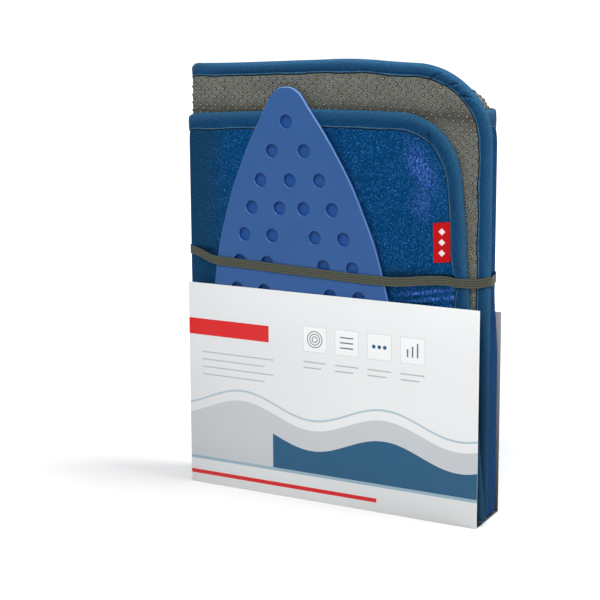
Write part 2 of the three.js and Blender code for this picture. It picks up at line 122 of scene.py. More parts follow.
@dataclass(frozen=True)
class RestSizes:
    """Sizes of the silicone iron rest and of its dimples."""

    thickness: float = 3.8
    length: float = 242.0
    width: float = 162.0
    base_height: float = 76.0
    base_offset: float = -19.8
    tilt_degrees: float = 3.81
    rim_round: float = 1.0
    dimple_diameter: float = 10.9
    dimple_depth: float = 2.6
    dimple_round: float = 0.6
    row_pitch: float = 22.0
    first_row: float = 26.5
    edge_inset: float = 22.3
    column_pitch: float = 24.0
    rows: int = 9
    tip_taper: float = 0.5
    row_slope: float = 0.025
    slope_gain: float = 0.010
    grid_shift: float = 0.8
    low_row_rise: float = 0.62
    travel: tuple[float, float] = (-70.0, 95.0)


@dataclass(frozen=True)
class WrapSizes:
    """Sizes of the card wrap, and the play between pieces that lie against each other."""

    thickness: float = 0.6
    width: float = 245.0
    front_height: float = 163.0
    side_inset: float = 0.2
    corner_round: float = 0.28
    clearance: float = 0.3


@dataclass(frozen=True)
class BandSizes:
    """Sizes of the elastic band."""

    width: float = 7.0
    thickness: float = 0.55
    ply: float = 0.3
    height: float = 178.0
    ribs: int = 4
    rib_rise: float = 0.22
    back_rise: float = 6.2
    back_fall: float = 3.1
    corner_rise: float = 2.4
    left_rise: float = 4.4
    slope_rise: float = 4.3
    right_rise: float = 3.6
    right_dip: float = 0.9


@dataclass(frozen=True)
class LabelSizes:
    """Sizes of the folded label at the binding's seam."""

    width: float = 12.7
    height: float = 29.0
    centre_height: float = 209.4
    droop: float = 0.12
    ply: float = 0.2
    ply_gap: float = 0.12
    woven: float = 0.08
    seam_reach: float = 0.8
    lean: float = 0.02
    curl: float = 0.55


@dataclass(frozen=True)
class DrapeSizes:
    """How the band draws the front leaf in, and how the mat's free edges lie."""

    clear_of_rest: tuple[float, float] = (54.0, 74.0)
    seam_inset: float = 14.6
    seam_dip: float = 0.13
    puff: float = 0.20
    nip_height: float = 178.0
    nip_slope: float = 0.04
    nip_width: float = 6.0
    nip_depth: float = 0.42
    left_nip: float = 0.16
    rim_reach: float = 5.5
    crease_pitch: float = 6.4
    crease_slope: float = 0.13
    crease_wander: float = 0.8
    lower_crease: float = 0.26
    lower_height: float = 168.0
    upper_crease: float = 0.08
    upper_height: float = 190.0
    tuck: float = 0.16
    tuck_pitch: float = 8.2
    tuck_height: float = 189.0
    wave: float = 0.05
    sway: float = 0.55
    fine_sway: float = 0.28
    top_drop: float = 3.4
    top_left_fall: float = 3.6
    top_crown: float = 2.2
    top_right_fall: float = 1.0
    rear_edge_drop: float = 7.0
    rear_edge_fall: float = 6.0
    front_edge_drop: float = 0.8
    front_edge_fall: float = 7.6
    front_edge_rise: float = 2.4
    front_edge_wave: float = 0.3
    bend_drop: float = 2.2
    hem_rise: float = 3.2
    lean_foot: float = 1.5
    lean_top: float = 34.0
    right_hold: float = 0.55
    low_hold: float = 0.45


@dataclass(frozen=True)
class SheenSizes:
    """Where the ironing face has painted highlights and painted shade: places and strengths."""

    streak: float = 1.2
    streak_height: float = 171.0
    corner: float = 0.75
    corner_x: float = 88.0
    corner_height: float = 263.0
    side: float = 0.5
    side_height: float = 236.0
    left_painted_shade: float = 1.1
    band_painted_shade: float = 0.9
    band_height: float = 183.5
    bend_painted_shade: float = 0.8


@dataclass(frozen=True)
class TapeSizes:
    """The bias tape's seam, stitches and puffs."""

    ply: float = 0.34
    seam_inset: float = 2.0
    stitch_pitch: float = 3.3
    stitch_halves: tuple[float, float, float] = (1.25, 0.24, 0.2)
    stitch_rise: float = 0.06
    seam_dip: float = 0.26
    lip_rise: float = 0.3
    lip_fall: float = 0.1
    gather_pitch: float = 6.1
    corner_gather: float = 0.26
    tuck_rise: float = 0.8
    tuck_dip: float = 1.2
    tuck_slope: float = 1.2
    band_pinch: float = 0.27
    least_relief: float = -0.2


def smooth(value: np.ndarray, start: float, end: float) -> np.ndarray:
    """Rises smoothly from 0 at start to 1 at end."""
    share = np.clip((value - start) / (end - start), 0, 1)
    return share * share * (3 - 2 * share)


def bell(value: np.ndarray, centre: float, width: float) -> np.ndarray:
    """Is 1 at the centre and falls off over the width on either side."""
    return np.exp(-(((value - centre) / width) ** 2))


def ripple(a: np.ndarray, b: np.ndarray, length: float, seed: float) -> np.ndarray:
    """A calm, irregular wave between about -1 and 1.

    Args:
        a: The first coordinate, in millimetres.
        b: The second coordinate, in millimetres.
        length: The rough wavelength.
        seed: Sets one wave apart from another.

    Returns:
        The wave's height at each point.
    """
    turn = 2 * math.pi / length
    return (
        0.45 * np.sin(turn * (0.93 * a + 0.31 * b) + seed)
        + 0.33 * np.sin(turn * (1.61 * b - 0.74 * a) + 2.3 * seed)
        + 0.22 * np.sin(turn * (2.37 * a + 1.13 * b) + 4.1 * seed)
    )


def unit(vectors: np.ndarray) -> np.ndarray:
    """Brings vectors to a length of one."""
    return vectors / np.linalg.norm(vectors, axis=1, keepdims=True)


def squared(along: np.ndarray, normal: np.ndarray) -> tuple[np.ndarray, np.ndarray]:
    """Brings two sets of directions to a length of one, and the second square to the first."""
    along = unit(along)
    return along, unit(normal - along * np.sum(along * normal, axis=1, keepdims=True))


def distances(points: np.ndarray) -> np.ndarray:
    """The distances along a line of points, from its first one."""
    return np.concatenate([[0], np.cumsum(np.hypot(*np.diff(points, axis=0).T))])


def stacked(*parts: np.ndarray) -> np.ndarray:
    """Lays parts together along a new last axis, each widened to the shape of all."""
    return np.stack(np.broadcast_arrays(*parts), axis=-1)


class Roll:
    """The plan of the rolled strip, and the map from the flat mat to its folded shape."""

    def __init__(self, mat: MatSizes, rest: RestSizes, wrap: WrapSizes) -> None:
        """Works out the depths, the limits and the route of the strip.

        Args:
            mat: Sizes of the mat.
            rest: Sizes of the iron rest, which lies in front of the roll.
            wrap: Sizes of the card, which holds the roll.
        """
        self.mat = mat
        self.drape = DrapeSizes()
        self.sheen = SheenSizes()
        self.base_depth = mat.half_gap + mat.tape + mat.ply_gap
        lower = self.base_depth + mat.base + mat.ply_gap
        upper = lower + mat.felt + mat.ply_gap
        foil = upper + mat.felt + mat.ply_gap
        cover = foil + mat.foil + mat.ply_gap
        self.cover_face = cover + mat.cover
        self.tape_face = self.cover_face + mat.ply_gap + mat.tape
        self.faces = {
            Ply.BASE: (self.base_depth, mat.base),
            Ply.FELT_LOWER: (lower + mat.felt, mat.felt),
            Ply.FELT_UPPER: (upper + mat.felt, mat.felt),
            Ply.FOIL: (foil + mat.foil, mat.foil),
            Ply.COVER: (self.cover_face, mat.cover),
        }
        self.pitch = 2 * (self.tape_face + mat.half_gap)
        roll_depth = mat.panels * self.pitch - 2 * mat.half_gap
        self.card_depth = 2 * wrap.thickness + rest.thickness + 3 * wrap.clearance + roll_depth
        self.rest_front = -self.card_depth / 2 + wrap.thickness + wrap.clearance
        self.front_face = self.rest_front + rest.thickness + wrap.clearance
        self.first_depth = self.front_face + self.tape_face
        self.centre_height = wrap.thickness + wrap.clearance + self.tape_face
        self.left = -wrap.width / 2 + wrap.side_inset
        self.right = self.left + mat.panel_width
        self.free_end = self.right + mat.rear_overhang
        play = wrap.clearance + mat.cover + mat.tape
        self.offset = (min(-wrap.width / 2, self.left - play) + self.free_end + play) / 2
        self.half_turn = math.pi / 2 * (mat.half_gap + self.tape_face) / 2
        self.slant_rise = mat.slant_height - self.centre_height
        self.front_edge = self.across_at(mat.front_height)
        self.rear_edge = self.across_at(mat.rear_height)
        self.runs = self._plan()
        self.length = self.runs[-1][0] + self.runs[-1][4]
        self.first_straight = self.runs[0][4]
        self.last_straight = self.runs[-1][4]
        self.lean_full = self.right - self.tape_face - self.pitch - min(mat.fold_radius, self.pitch / 2)
        self._table = np.array(self.runs).T

    def across_at(self, height: float | np.ndarray) -> float | np.ndarray:
        """How far across the strip, from the middle of the bottom fold, a height on a leaf is."""
        return height - self.centre_height + self.half_turn

    def height_at(self, u: np.ndarray) -> np.ndarray:
        """How high up its leaf a place across the strip is."""
        return np.abs(u) - self.half_turn + self.centre_height

    def x_at(self, s: np.ndarray) -> np.ndarray:
        """The x of a place along the front panel."""
        return self.free_end - s - self.offset

    def _plan(self) -> list[tuple[float, float, float, float, float, float]]:
        """Walks the route from the free front end.

        Returns:
            One row for each straight or quarter turn: start, x, y, heading, length and radius.
        """
        panels = self.mat.panels
        spans = [(panels - 1 - index) * self.pitch for index in range(panels - 1)]
        limits = []
        for index, span in enumerate(spans):
            inset = index // 2 * self.pitch + min(self.mat.fold_radius, span / 2) + self.tape_face
            limits.append(self.right - inset if index % 2 else self.left + inset)
        pieces, x = [], self.free_end
        for span, limit in zip(spans, limits):
            radius = min(self.mat.fold_radius, span / 2)
            quarter = (radius * math.pi / 2, radius)
            pieces += [(abs(limit - x), 0.0), quarter, (span - 2 * radius, 0.0), quarter]
            x = limit
        inner = self.left + self.tape_face + self.pitch + self.mat.inner_end_inset
        pieces.append((x - inner, 0.0))
        rows, s, x, y, heading = [], 0.0, self.free_end, self.first_depth, math.pi
        for length, radius in pieces:
            if length <= 0:
                continue
            rows.append((s, x, y, heading, length, radius))
            s += length
            if radius:
                ended = heading - length / radius
                x += radius * (math.sin(heading) - math.sin(ended))
                y += radius * (math.cos(ended) - math.cos(heading))
                heading = ended
            else:
                x += length * math.cos(heading)
                y += length * math.sin(heading)
        return rows

    def route(self, s: np.ndarray) -> tuple[np.ndarray, np.ndarray, np.ndarray]:
        """Finds points of the route.

        Args:
            s: Distances along the strip from its free front end.

        Returns:
            The x and y of each point, and the strip's heading there.
        """
        start, x, y, heading, _, radius = self._table
        i = np.clip(np.searchsorted(start, s, side="right") - 1, 0, len(start) - 1)
        run, h = s - start[i], heading[i]
        turning = radius[i] > 0
        r = np.where(turning, radius[i], 1.0)
        ended = np.where(turning, h - run / r, h)
        px = np.where(turning, x[i] + r * (np.sin(h) - np.sin(ended)), x[i] + run * np.cos(h))
        py = np.where(turning, y[i] + r * (np.cos(ended) - np.cos(h)), y[i] + run * np.sin(h))
        return px, py, ended

    def edge_distance(self, s: np.ndarray, u: np.ndarray) -> np.ndarray:
        """How far in from the mat's outline a place on the flat mat is, round its corners too."""
        radius = self.mat.corner_radius
        along = np.minimum(s, self.length - s)
        across = np.where(u > 0, self.front_edge - u, self.rear_edge + u)
        corner = (along < radius) & (across < radius)
        rounded = radius - np.hypot(radius - along, radius - across)
        return np.where(corner, rounded, np.minimum(along, across))

    def creases(self, x: np.ndarray, height: np.ndarray, phase: float) -> np.ndarray:
        """The fine creases that the band draws into the front leaf, from -1 to 1."""
        drape = self.drape
        drawn = height - drape.crease_slope * (x - 60) + drape.crease_wander * ripple(x, height, 60, 1.7)
        return np.sin(2 * math.pi * drawn / drape.crease_pitch + phase)

    def swell(self, s: np.ndarray, u: np.ndarray) -> np.ndarray:
        """The leaf's thickness as a share of its full thickness, thin at seams and under the band."""
        drape, height, x = self.drape, self.height_at(u), self.x_at(s)
        edge = self.edge_distance(s, u)
        front = smooth(u, 0, 12)
        first = 1 - smooth(s, self.first_straight - 30, self.first_straight)
        clear = front * first * smooth(x, *drape.clear_of_rest)
        share = 1 - drape.seam_dip * bell(edge, drape.seam_inset, 3.2) * front
        spared = 1 - 0.8 * bell(height, drape.nip_height, 26)
        share = share + clear * drape.puff * smooth(edge, 15, 34) * spared
        rim = smooth(x, 86, 98)
        reach = drape.rim_reach * rim
        off_band = np.abs(height - drape.nip_height - drape.nip_slope * (x - 60) + reach) - reach
        nip = bell(np.maximum(0, off_band), 0, drape.nip_width)
        left = drape.left_nip * nip * front * first * smooth(-x, 96, 116)
        share = share - drape.nip_depth * nip * clear - left
        crease = self.creases(x, height, 0.65)
        lower = clear * drape.lower_crease * crease * bell(height, drape.lower_height, 6.5)
        share = share + lower * smooth(x, 60, 80) * (1 - 0.85 * rim)
        upper = clear * drape.upper_crease * crease * bell(height, drape.upper_height, 7)
        share = share + upper * smooth(x, 76, 98)
        slanted = np.sin(2 * math.pi * (0.75 * height + 0.66 * x) / drape.tuck_pitch)
        tuck = clear * drape.tuck * slanted * bell(height, drape.tuck_height, 8)
        share = share + tuck * bell(edge, 7, 7)
        return share + clear * drape.wave * ripple(s, u, 46, 0.4)

    def tone(self, s: np.ndarray, u: np.ndarray) -> np.ndarray:
        """Painted light on the ironing face: painted highlights above 0, and painted shade below 0."""
        sheen, height, x = self.sheen, self.height_at(u), self.x_at(s)
        front = (u > 0) * (1 - smooth(s, self.first_straight + 14, self.first_straight + 40))
        crease = self.creases(x, height, -0.3)
        # Painted highlights: streaks on the creases below the band, a patch by the top right corner and a
        # spot below it.
        streak = smooth(crease, -0.3, 0.8) * bell(height, sheen.streak_height, 7) * smooth(x, 52, 78)
        streak = streak * (0.7 + 0.3 * ripple(s, u, 17, 3.0))
        slanted = height - sheen.corner_height + 0.8 * (x - sheen.corner_x)
        corner = bell(x, sheen.corner_x, 12) * bell(slanted, 0, 12)
        side = sheen.side * bell(x, sheen.corner_x, 7) * bell(height, sheen.side_height, 9)
        # Painted shade: under the band, towards the left end and round the roll's right-hand bend, most low
        # down.
        under_band = sheen.band_painted_shade * bell(height, sheen.band_height, 2.4) * smooth(x, 30, 70)
        painted_shade = sheen.left_painted_shade * smooth(-x, 76, 118) + under_band
        bend = self.runs[5][0] + self.runs[5][4] / 2
        turned = sheen.bend_painted_shade * bell(s, bend, 40) * (1 - smooth(height, 60, 330) * 0.5)
        return front * (sheen.streak * streak + sheen.corner * corner + side - painted_shade) - turned

    def sway(self, s: np.ndarray, u: np.ndarray) -> np.ndarray:
        """How far the rear leaf stands off its plane, where nothing lies against it."""
        free = (u < 0) * smooth(self.height_at(u), 303, 322)
        return free * (self.drape.sway * ripple(s, u, 74, 2.2) + self.drape.fine_sway * ripple(s, u, 31, 0.9))

    def lift(self, s: np.ndarray, u: np.ndarray) -> np.ndarray:
        """How far the top edges stand above or below their plain height."""
        drape, height, x = self.drape, self.height_at(u), self.x_at(s)
        end = self.first_straight
        first = 1 - smooth(s, end - 12, end + 12)
        bow = -drape.top_drop - drape.top_left_fall * smooth(-x, 20, 122) + drape.top_crown * bell(x, 16, 36)
        bow = bow - drape.top_right_fall * smooth(x, 60, 110)
        back = smooth(s, end + 60, end + 210)
        rear = first * bow - drape.rear_edge_drop * (1 - first)
        rear = rear - drape.rear_edge_fall * smooth(s, end + 10, end + 150)
        front = -drape.front_edge_fall * np.clip((-12 - x) / 112, 0, 1) * (1 - back)
        front = front + drape.front_edge_rise * back - drape.front_edge_drop
        front = front + drape.front_edge_wave * ripple(s, u * 0, 90, 3.0)
        turned = -drape.bend_drop * smooth(np.abs(s - end - 14), 16, 9)
        tops = np.where(u < 0, rear * smooth(height, 240, 336), front * smooth(height, 180, 300))
        raised = drape.hem_rise * smooth(x, 60, 122) * (1 - smooth(height, 2, 60))
        return tops + turned * smooth(height, 280, 300) + raised

    def pressed(self, s: np.ndarray, x: np.ndarray, y: np.ndarray, height: np.ndarray) -> np.ndarray:
        """Leans the rolled panels in at the top, where only the rear leaf is left.

        Args:
            s: Distances along the strip.
            x: The route's x there.
            y: The route's y there.
            height: Heights before the edges are lifted.

        Returns:
            The x and y, stacked.
        """
        mat = self.mat
        top = np.maximum(0, (height - mat.front_height) / (mat.rear_height - mat.front_height))
        reach = np.clip((x - self.lean_full) / mat.lean_reach + 1, 0, 1)
        lean = self.drape.lean_foot * smooth(height, 276, 300) + self.drape.lean_top * top**5
        x = np.where(s > self.first_straight, x - lean * reach, x)
        y = self.first_depth + (y - self.first_depth) * (1 - mat.top_press * smooth(height, 306, 335))
        return np.stack([x, y])

    def folded(self, s: np.ndarray, u: np.ndarray, depth: np.ndarray) -> np.ndarray:
        """Maps places on the flat mat to its folded shape.

        Args:
            s: Distances along the strip.
            u: Distances across it from the bottom fold, positive up the front leaf.
            depth: Distances from the middle of the doubled strip.

        Returns:
            The points, with x, y and z in the last axis.
        """
        mat, half = self.mat, self.half_turn
        s, u, depth = np.broadcast_arrays(*(np.asarray(part, float) for part in (s, u, depth)))
        front_share = np.clip((u / half + 1) / 2, 0, 1)
        front_fade = np.maximum(0, 1 - s / self.first_straight)
        inner_fade = np.maximum(0, 1 - (self.length - s) / self.last_straight)
        slant = np.clip((u - half) / self.slant_rise, 0, 1)
        skew = slant * (mat.front_recess * front_fade - mat.inner_recess * inner_fade)
        skew = skew + mat.corner_ease * bell(u, self.across_at(254.0), 28) * front_fade**3
        x, y, heading = self.route(s + skew)
        angle = (1 - front_share) * math.pi
        swollen = depth * self.swell(s, u) + self.sway(s, u)
        outward = swollen * np.cos(angle)
        rise = np.maximum(0, np.abs(u) - half)
        plain_height = self.centre_height + rise - depth * np.sin(angle)
        here = self.pressed(s, x, y, plain_height)
        slope = self.pressed(s, x, y, plain_height + 1) - here
        across = np.stack([-np.sin(heading), np.cos(heading)])
        tilt = np.sum(slope * across, axis=0)
        outward = outward / np.sqrt(1 + tilt**2)
        x, y = here + across * outward
        low = self.drape.low_hold * (1 - smooth(plain_height, 120, 172))
        free = 1 - smooth(x, 60, 110) * (self.drape.right_hold + low)
        x = x - mat.roll_shift * smooth(s, self.first_straight - 60, self.first_straight) * free
        middle = (self.front_face + self.card_depth / 2) / 2
        y = middle + (y - middle) * (1 - mat.left_squeeze * smooth(-x, 70, 132) ** 1.5)
        return np.stack([x - self.offset, y, plain_height + self.lift(s, u) - tilt * outward], axis=-1)

    def stations(self, first_step: float, step: float, turn_steps: int) -> np.ndarray:
        """Places along the strip between its rounded corners.

        Args:
            first_step: Spacing on the front panel.
            step: Spacing on the other panels.
            turn_steps: Steps round each quarter turn.

        Returns:
            The stations in order.
        """
        found: list[float] = []
        for index, (start, _, _, _, length, radius) in enumerate(self.runs):
            spacing = first_step if index == 0 else step
            count = turn_steps if radius else max(1, round(length / spacing))
            found += [start + length * k / count for k in range(count)]
        radius = self.mat.corner_radius
        inner = [s for s in found if radius + 1 < s < self.length - radius - 1]
        return np.array([radius, *inner, self.length - radius])


def deselect() -> None:
    """Leaves edit mode if need be and deselects every object."""
    if bpy.context.object and bpy.context.object.mode != "OBJECT":
        bpy.ops.object.mode_set(mode="OBJECT")
    bpy.ops.object.select_all(action="DESELECT")


def only(piece: Piece) -> None:
    """Makes one object the selected and active one."""
    deselect()
    piece.select_set(True)
    bpy.context.view_layer.objects.active = piece


def added(operator: Callable, **settings: object) -> Piece:
    """Adds one object with a Blender operator.

    Args:
        operator: The operator.
        settings: What it is called with.

    Returns:
        The object.
    """
    deselect()
    operator(**settings)
    return bpy.context.object


def edit(piece: Piece) -> None:
    """Opens a piece's mesh for editing, with all of it selected."""
    only(piece)
    bpy.ops.object.mode_set(mode="EDIT")
    bpy.ops.mesh.select_all(action="SELECT")


def apply_modifier(piece: Piece, kind: str, **settings: object) -> None:
    """Adds a modifier with its settings and applies it.

    Args:
        piece: The object.
        kind: The modifier's type.
        settings: Its properties.
    """
    only(piece)
    bpy.ops.object.modifier_add(type=kind)
    modifier = piece.modifiers[-1]
    for name, value in settings.items():
        setattr(modifier, name, value)
    bpy.ops.object.modifier_apply(modifier=modifier.name)


def shade_smooth(piece: Piece, degrees: float) -> None:
    """Shades a piece smooth, apart from edges sharper than an angle."""
    only(piece)
    bpy.ops.object.shade_smooth_by_angle(angle=math.radians(degrees))


def thicken(piece: Piece, ply: float, degrees: float) -> None:
    """Gives cloth its thickness inwards, in millimetres, and shades it smooth."""
    apply_modifier(piece, "SOLIDIFY", thickness=ply * MM, offset=-1.0)
    shade_smooth(piece, degrees)


def settle(piece: Piece) -> None:
    """Writes a piece's place, turn and scale into its mesh."""
    only(piece)
    bpy.ops.object.transform_apply(location=True, rotation=True, scale=True)


def dress(
    piece: Piece,
    name: str,
    body: str,
    material: Material,
    nodes: tuple[str, ...],
) -> Piece:
    """Names a finished piece, gives it its finish and hangs it on its body.

    Args:
        piece: The piece.
        name: Its name.
        body: The CAD body that it rides on.
        material: Its finish.
        nodes: The CAD nodes that it stands for.

    Returns:
        The same piece.
    """
    piece.name = piece.data.name = name
    piece.data.materials.clear()
    piece.data.materials.append(material)
    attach(piece, body)
    if nodes:
        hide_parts(*nodes)
    piece.data.calc_loop_triangles()
    LOG.info("%s: %d triangles on %s", name, len(piece.data.loop_triangles), body)
    return piece


def cloth_grid(
    places: np.ndarray,
    flat: np.ndarray,
    outward: np.ndarray,
    ring: bool = False,
    tone: np.ndarray | None = None,
) -> Piece:
    """Cuts a flat grid of cloth and lays it along a surface.

    Args:
        places: The points in millimetres, by column and row.
        flat: The flat coordinates of each point, in millimetres, kept as a UV map in metres.
        outward: A point off the surface's outer side near the grid's middle.
        ring: True joins the last column to the first.
        tone: The painted highlights and shade at each point, kept as an attribute.

    Returns:
        The cloth, one face thick, with its outer side facing out.
    """
    columns, rows = places.shape[:2]
    counts = {"x_subdivisions": columns - 1, "y_subdivisions": rows - 1}
    piece = added(bpy.ops.mesh.primitive_grid_add, size=1.0, **counts)
    mesh = piece.data
    co = np.empty(len(mesh.vertices) * 3, np.float32)
    mesh.vertices.foreach_get("co", co)
    co = co.reshape(-1, 3)
    i = np.rint((co[:, 0] + 0.5) * (columns - 1)).astype(int)
    j = np.rint((co[:, 1] + 0.5) * (rows - 1)).astype(int)
    mesh.vertices.foreach_set("co", (places[i, j] * MM).astype(np.float32).ravel())
    if tone is not None:
        mesh.attributes.new("tone", "FLOAT", "POINT").data.foreach_set("value", tone[i, j].astype(np.float32))
    layer = mesh.uv_layers.active
    layer.name = "flat"
    uv = np.empty(len(mesh.loops) * 2, np.float32)
    layer.uv.foreach_get("vector", uv)
    uv = uv.reshape(-1, 2)
    i = np.rint(uv[:, 0] * (columns - 1)).astype(int)
    j = np.rint(uv[:, 1] * (rows - 1)).astype(int)
    layer.uv.foreach_set("vector", (flat[i, j] * MM).astype(np.float32).ravel())
    mesh.update()
    i, j = columns // 2, rows // 2
    normal = np.cross(places[i + 1, j] - places[i, j], places[i, j + 1] - places[i, j])
    edit(piece)
    if ring:
        bpy.ops.mesh.remove_doubles(threshold=1e-7)
    if np.dot(normal, outward - places[i, j]) < 0:
        bpy.ops.mesh.flip_normals()
    bpy.ops.object.mode_set(mode="OBJECT")
    return piece


def copies(template: Piece, centres: np.ndarray, axes: np.ndarray) -> Piece:
    """Repeats one small shape at many places, as one mesh.

    Args:
        template: The shape, in metres about its origin. It is removed.
        centres: The places, in millimetres.
        axes: For each place, the directions of the shape's x, y and z.

    Returns:
        The joined copies.
    """
    shape = np.array([v.co for v in template.data.vertices], float)
    faces = [tuple(p.vertices) for p in template.data.polygons]
    bpy.data.objects.remove(template)
    points = np.einsum("vk,nkd->nvd", shape, axes) + centres[:, None, :] * MM
    count = len(shape)
    every = [tuple(index + n * count for index in face) for n in range(len(centres)) for face in faces]
    mesh = bpy.data.meshes.new("copies")
    mesh.from_pydata(points.reshape(-1, 3).tolist(), [], every)
    mesh.update()
    rise = mesh.attributes.new("rise", "FLOAT", "POINT")
    rise.data.foreach_set("value", np.tile(shape[:, 2], len(centres)).astype(np.float32))
    piece = bpy.data.objects.new("copies", mesh)
    bpy.context.scene.collection.objects.link(piece)
    return piece


class Graph:
    """Adds and links the shader nodes of one material."""

    def __init__(self, name: str) -> None:
        """Starts a material with a Principled shader on its output."""
        self.material = bpy.data.materials.new(name)
        self.material.use_nodes = True
        self.tree = self.material.node_tree
        self.tree.nodes.clear()
        self.shader = self.tree.nodes.new("ShaderNodeBsdfPrincipled")
        output = self.tree.nodes.new("ShaderNodeOutputMaterial")
        self.tree.links.new(self.shader.outputs[0], output.inputs[0])
        coordinates = self.tree.nodes.new("ShaderNodeTexCoord").outputs
        self.flat, self.spot, self.facing = (coordinates[name] for name in ("UV", "Object", "Normal"))

    def node(self, kind: str, inputs: dict | None = None, **settings: object) -> bpy.types.Node:
        """Adds a node.

        Args:
            kind: The node's type, without its usual first words.
            inputs: Values or sockets for its inputs.
            settings: Its properties.

        Returns:
            The node.
        """
        made = self.tree.nodes.new("ShaderNode" + kind)
        for name, value in settings.items():
            setattr(made, name, value)
        for key, value in (inputs or {}).items():
            if isinstance(value, Socket):
                self.tree.links.new(value, made.inputs[key])
            elif value is not None:
                made.inputs[key].default_value = value
        return made

    def math(self, operation: str, a: object, b: object = None, c: object = None) -> Socket:
        """Adds a Math node and returns its result."""
        return self.node("Math", {0: a, 1: b, 2: c}, operation=operation).outputs[0]

    def mix(self, share: object, a: object, b: object, blend: str = "MIX") -> Socket:
        """Mixes two colours by a share and returns the result."""
        made = self.node("Mix", {0: share, 6: a, 7: b}, data_type="RGBA", blend_type=blend)
        return made.outputs[2]

    def spread(self, value: Socket, low: float, high: float, to_low: float, to_high: float) -> Socket:
        """Maps a range of values to another, held within it."""
        inputs = {0: value, 1: low, 2: high, 3: to_low, 4: to_high}
        return self.node("MapRange", inputs, clamp=True).outputs[0]

    def noise(self, vector: Socket, scale: float, detail: float = 2.0, rough: float = 0.5) -> Socket:
        """Adds a noise and returns its value, from 0 to 1."""
        inputs = {"Vector": vector, "Scale": scale, "Detail": detail, "Roughness": rough}
        return self.node("TexNoise", inputs).outputs["Fac"]

    def scaled(self, vector: Socket, x: float, y: float, z: float = 1.0) -> Socket:
        """Stretches coordinates and returns them."""
        return self.node("Mapping", {"Vector": vector, "Scale": (x, y, z)}).outputs[0]

    def times(self, a: object, b: object) -> Socket:
        """Multiplies two values."""
        return self.math("MULTIPLY", a, b)

    def less(self, a: object, b: object) -> Socket:
        """Takes one value from another."""
        return self.math("SUBTRACT", a, b)

    def size(self, a: object) -> Socket:
        """Drops a value's sign."""
        return self.math("ABSOLUTE", a)

    def parts(self, vector: Socket) -> list[Socket]:
        """Splits coordinates into x, y and z."""
        return list(self.node("SeparateXYZ", {0: vector}).outputs)

    def kept(self, name: str) -> Socket:
        """Reads a value that is kept on the mesh."""
        return self.node("Attribute", attribute_name=name).outputs["Fac"]

    def weave(self, vector: Socket, thread_mm: float) -> Socket:
        """Crosses two sets of threads and returns their height, from -1 to 1."""
        threads = self.parts(self.scaled(vector, 1000 / thread_mm, 1000 / thread_mm))
        warp, weft = (self.math("SINE", self.times(part, 2 * math.pi)) for part in threads[:2])
        return self.times(warp, weft)

    def bump(self, height: Socket, strength: float, distance: float) -> None:
        """Raises the surface by a height in metres, as light sees it."""
        made = self.node("Bump", {"Strength": strength, "Distance": distance, "Height": height})
        self.tree.links.new(made.outputs[0], self.shader.inputs["Normal"])

    def finish(self, colour: object, roughness: object, **levels: float) -> Material:
        """Sets the shader's inputs.

        Args:
            colour: The base colour.
            roughness: The roughness.
            levels: Other inputs by name, with underscores for spaces.

        Returns:
            The finished material.
        """
        for name, value in {"Base Color": colour, "Roughness": roughness}.items():
            if isinstance(value, Socket):
                self.tree.links.new(value, self.shader.inputs[name])
            else:
                self.shader.inputs[name].default_value = value
        for name, value in levels.items():
            self.shader.inputs[name.replace("_", " ")].default_value = value
        return self.material


def linear(red: int, green: int, blue: int) -> tuple[float, float, float, float]:
    """Turns a screen colour of 0 to 255 into a linear one."""
    values = (channel / 255 for channel in (red, green, blue))
    parts = [v / 12.92 if v <= 0.04045 else ((v + 0.055) / 1.055) ** 2.4 for v in values]
    return (parts[0], parts[1], parts[2], 1.0)


@dataclass(frozen=True)
class GlitterCloth:
    """Blue metallised cloth with a fine weave and glitter, and painted highlights and shade set by its tone
    attribute.
    """

    deep: Tone = (0, 40, 78)
    mid: Tone = (4, 76, 124)
    spark: Tone = (84, 146, 228)
    glow: Tone = (104, 128, 236)
    painted_shade: Tone = (28, 60, 80)
    tint: tuple[float, float, float, float] = (0.12, 0.42, 0.8, 1.0)
    grain_mm: float = 0.7
    thread_mm: float = 0.5

    def build(self) -> Material:
        """Makes the material."""
        g = Graph("glitter_cloth")
        uv = g.flat
        cells = g.node("TexVoronoi", {"Vector": uv, "Scale": 1000 / self.grain_mm}, voronoi_dimensions="2D")
        fine = g.node("TexVoronoi", {"Vector": uv, "Scale": 1700 / self.grain_mm}, voronoi_dimensions="2D")
        pick = g.node("SeparateColor", {0: cells.outputs["Color"]}).outputs[0]
        pick_fine = g.node("SeparateColor", {0: fine.outputs["Color"]}).outputs[1]
        patch = g.noise(uv, 34, 3)
        shade = g.math("MULTIPLY_ADD", patch, 0.3, g.times(pick, 0.7))
        body = g.mix(shade, linear(*self.deep), linear(*self.mid))
        tone = g.kept("tone")
        # Painted highlight: where tone is above 0, glitter cells turn a pale violet-blue.
        glow = g.spread(tone, 0, 1, 0, 1)
        body = g.mix(g.times(glow, g.spread(pick, 0.45, 0.9, 0.04, 1)), body, linear(*self.glow))
        glint = g.times(g.spread(pick_fine, 0.7, 0.95, 0, 1), g.spread(pick, 0.6, 0.95, 0.1, 1))
        colour = g.mix(glint, body, linear(*self.spark))
        # Painted shade: where tone is below 0, the cloth turns a dull grey-blue.
        painted_lighting = g.times(g.spread(tone, -1, 0, 0.8, 0), g.spread(patch, 0.3, 0.7, 0.7, 1))
        colour = g.mix(painted_lighting, colour, linear(*self.painted_shade))
        height = g.math("MULTIPLY_ADD", g.weave(uv, self.thread_mm), 0.25, g.times(pick_fine, 0.75))
        g.bump(height, 0.6, 0.00016)
        levels = {"Metallic": 0.72, "Specular_IOR_Level": 0.1, "Specular_Tint": self.tint}
        return g.finish(colour, g.spread(pick, 0, 1, 0.4, 0.66), **levels)


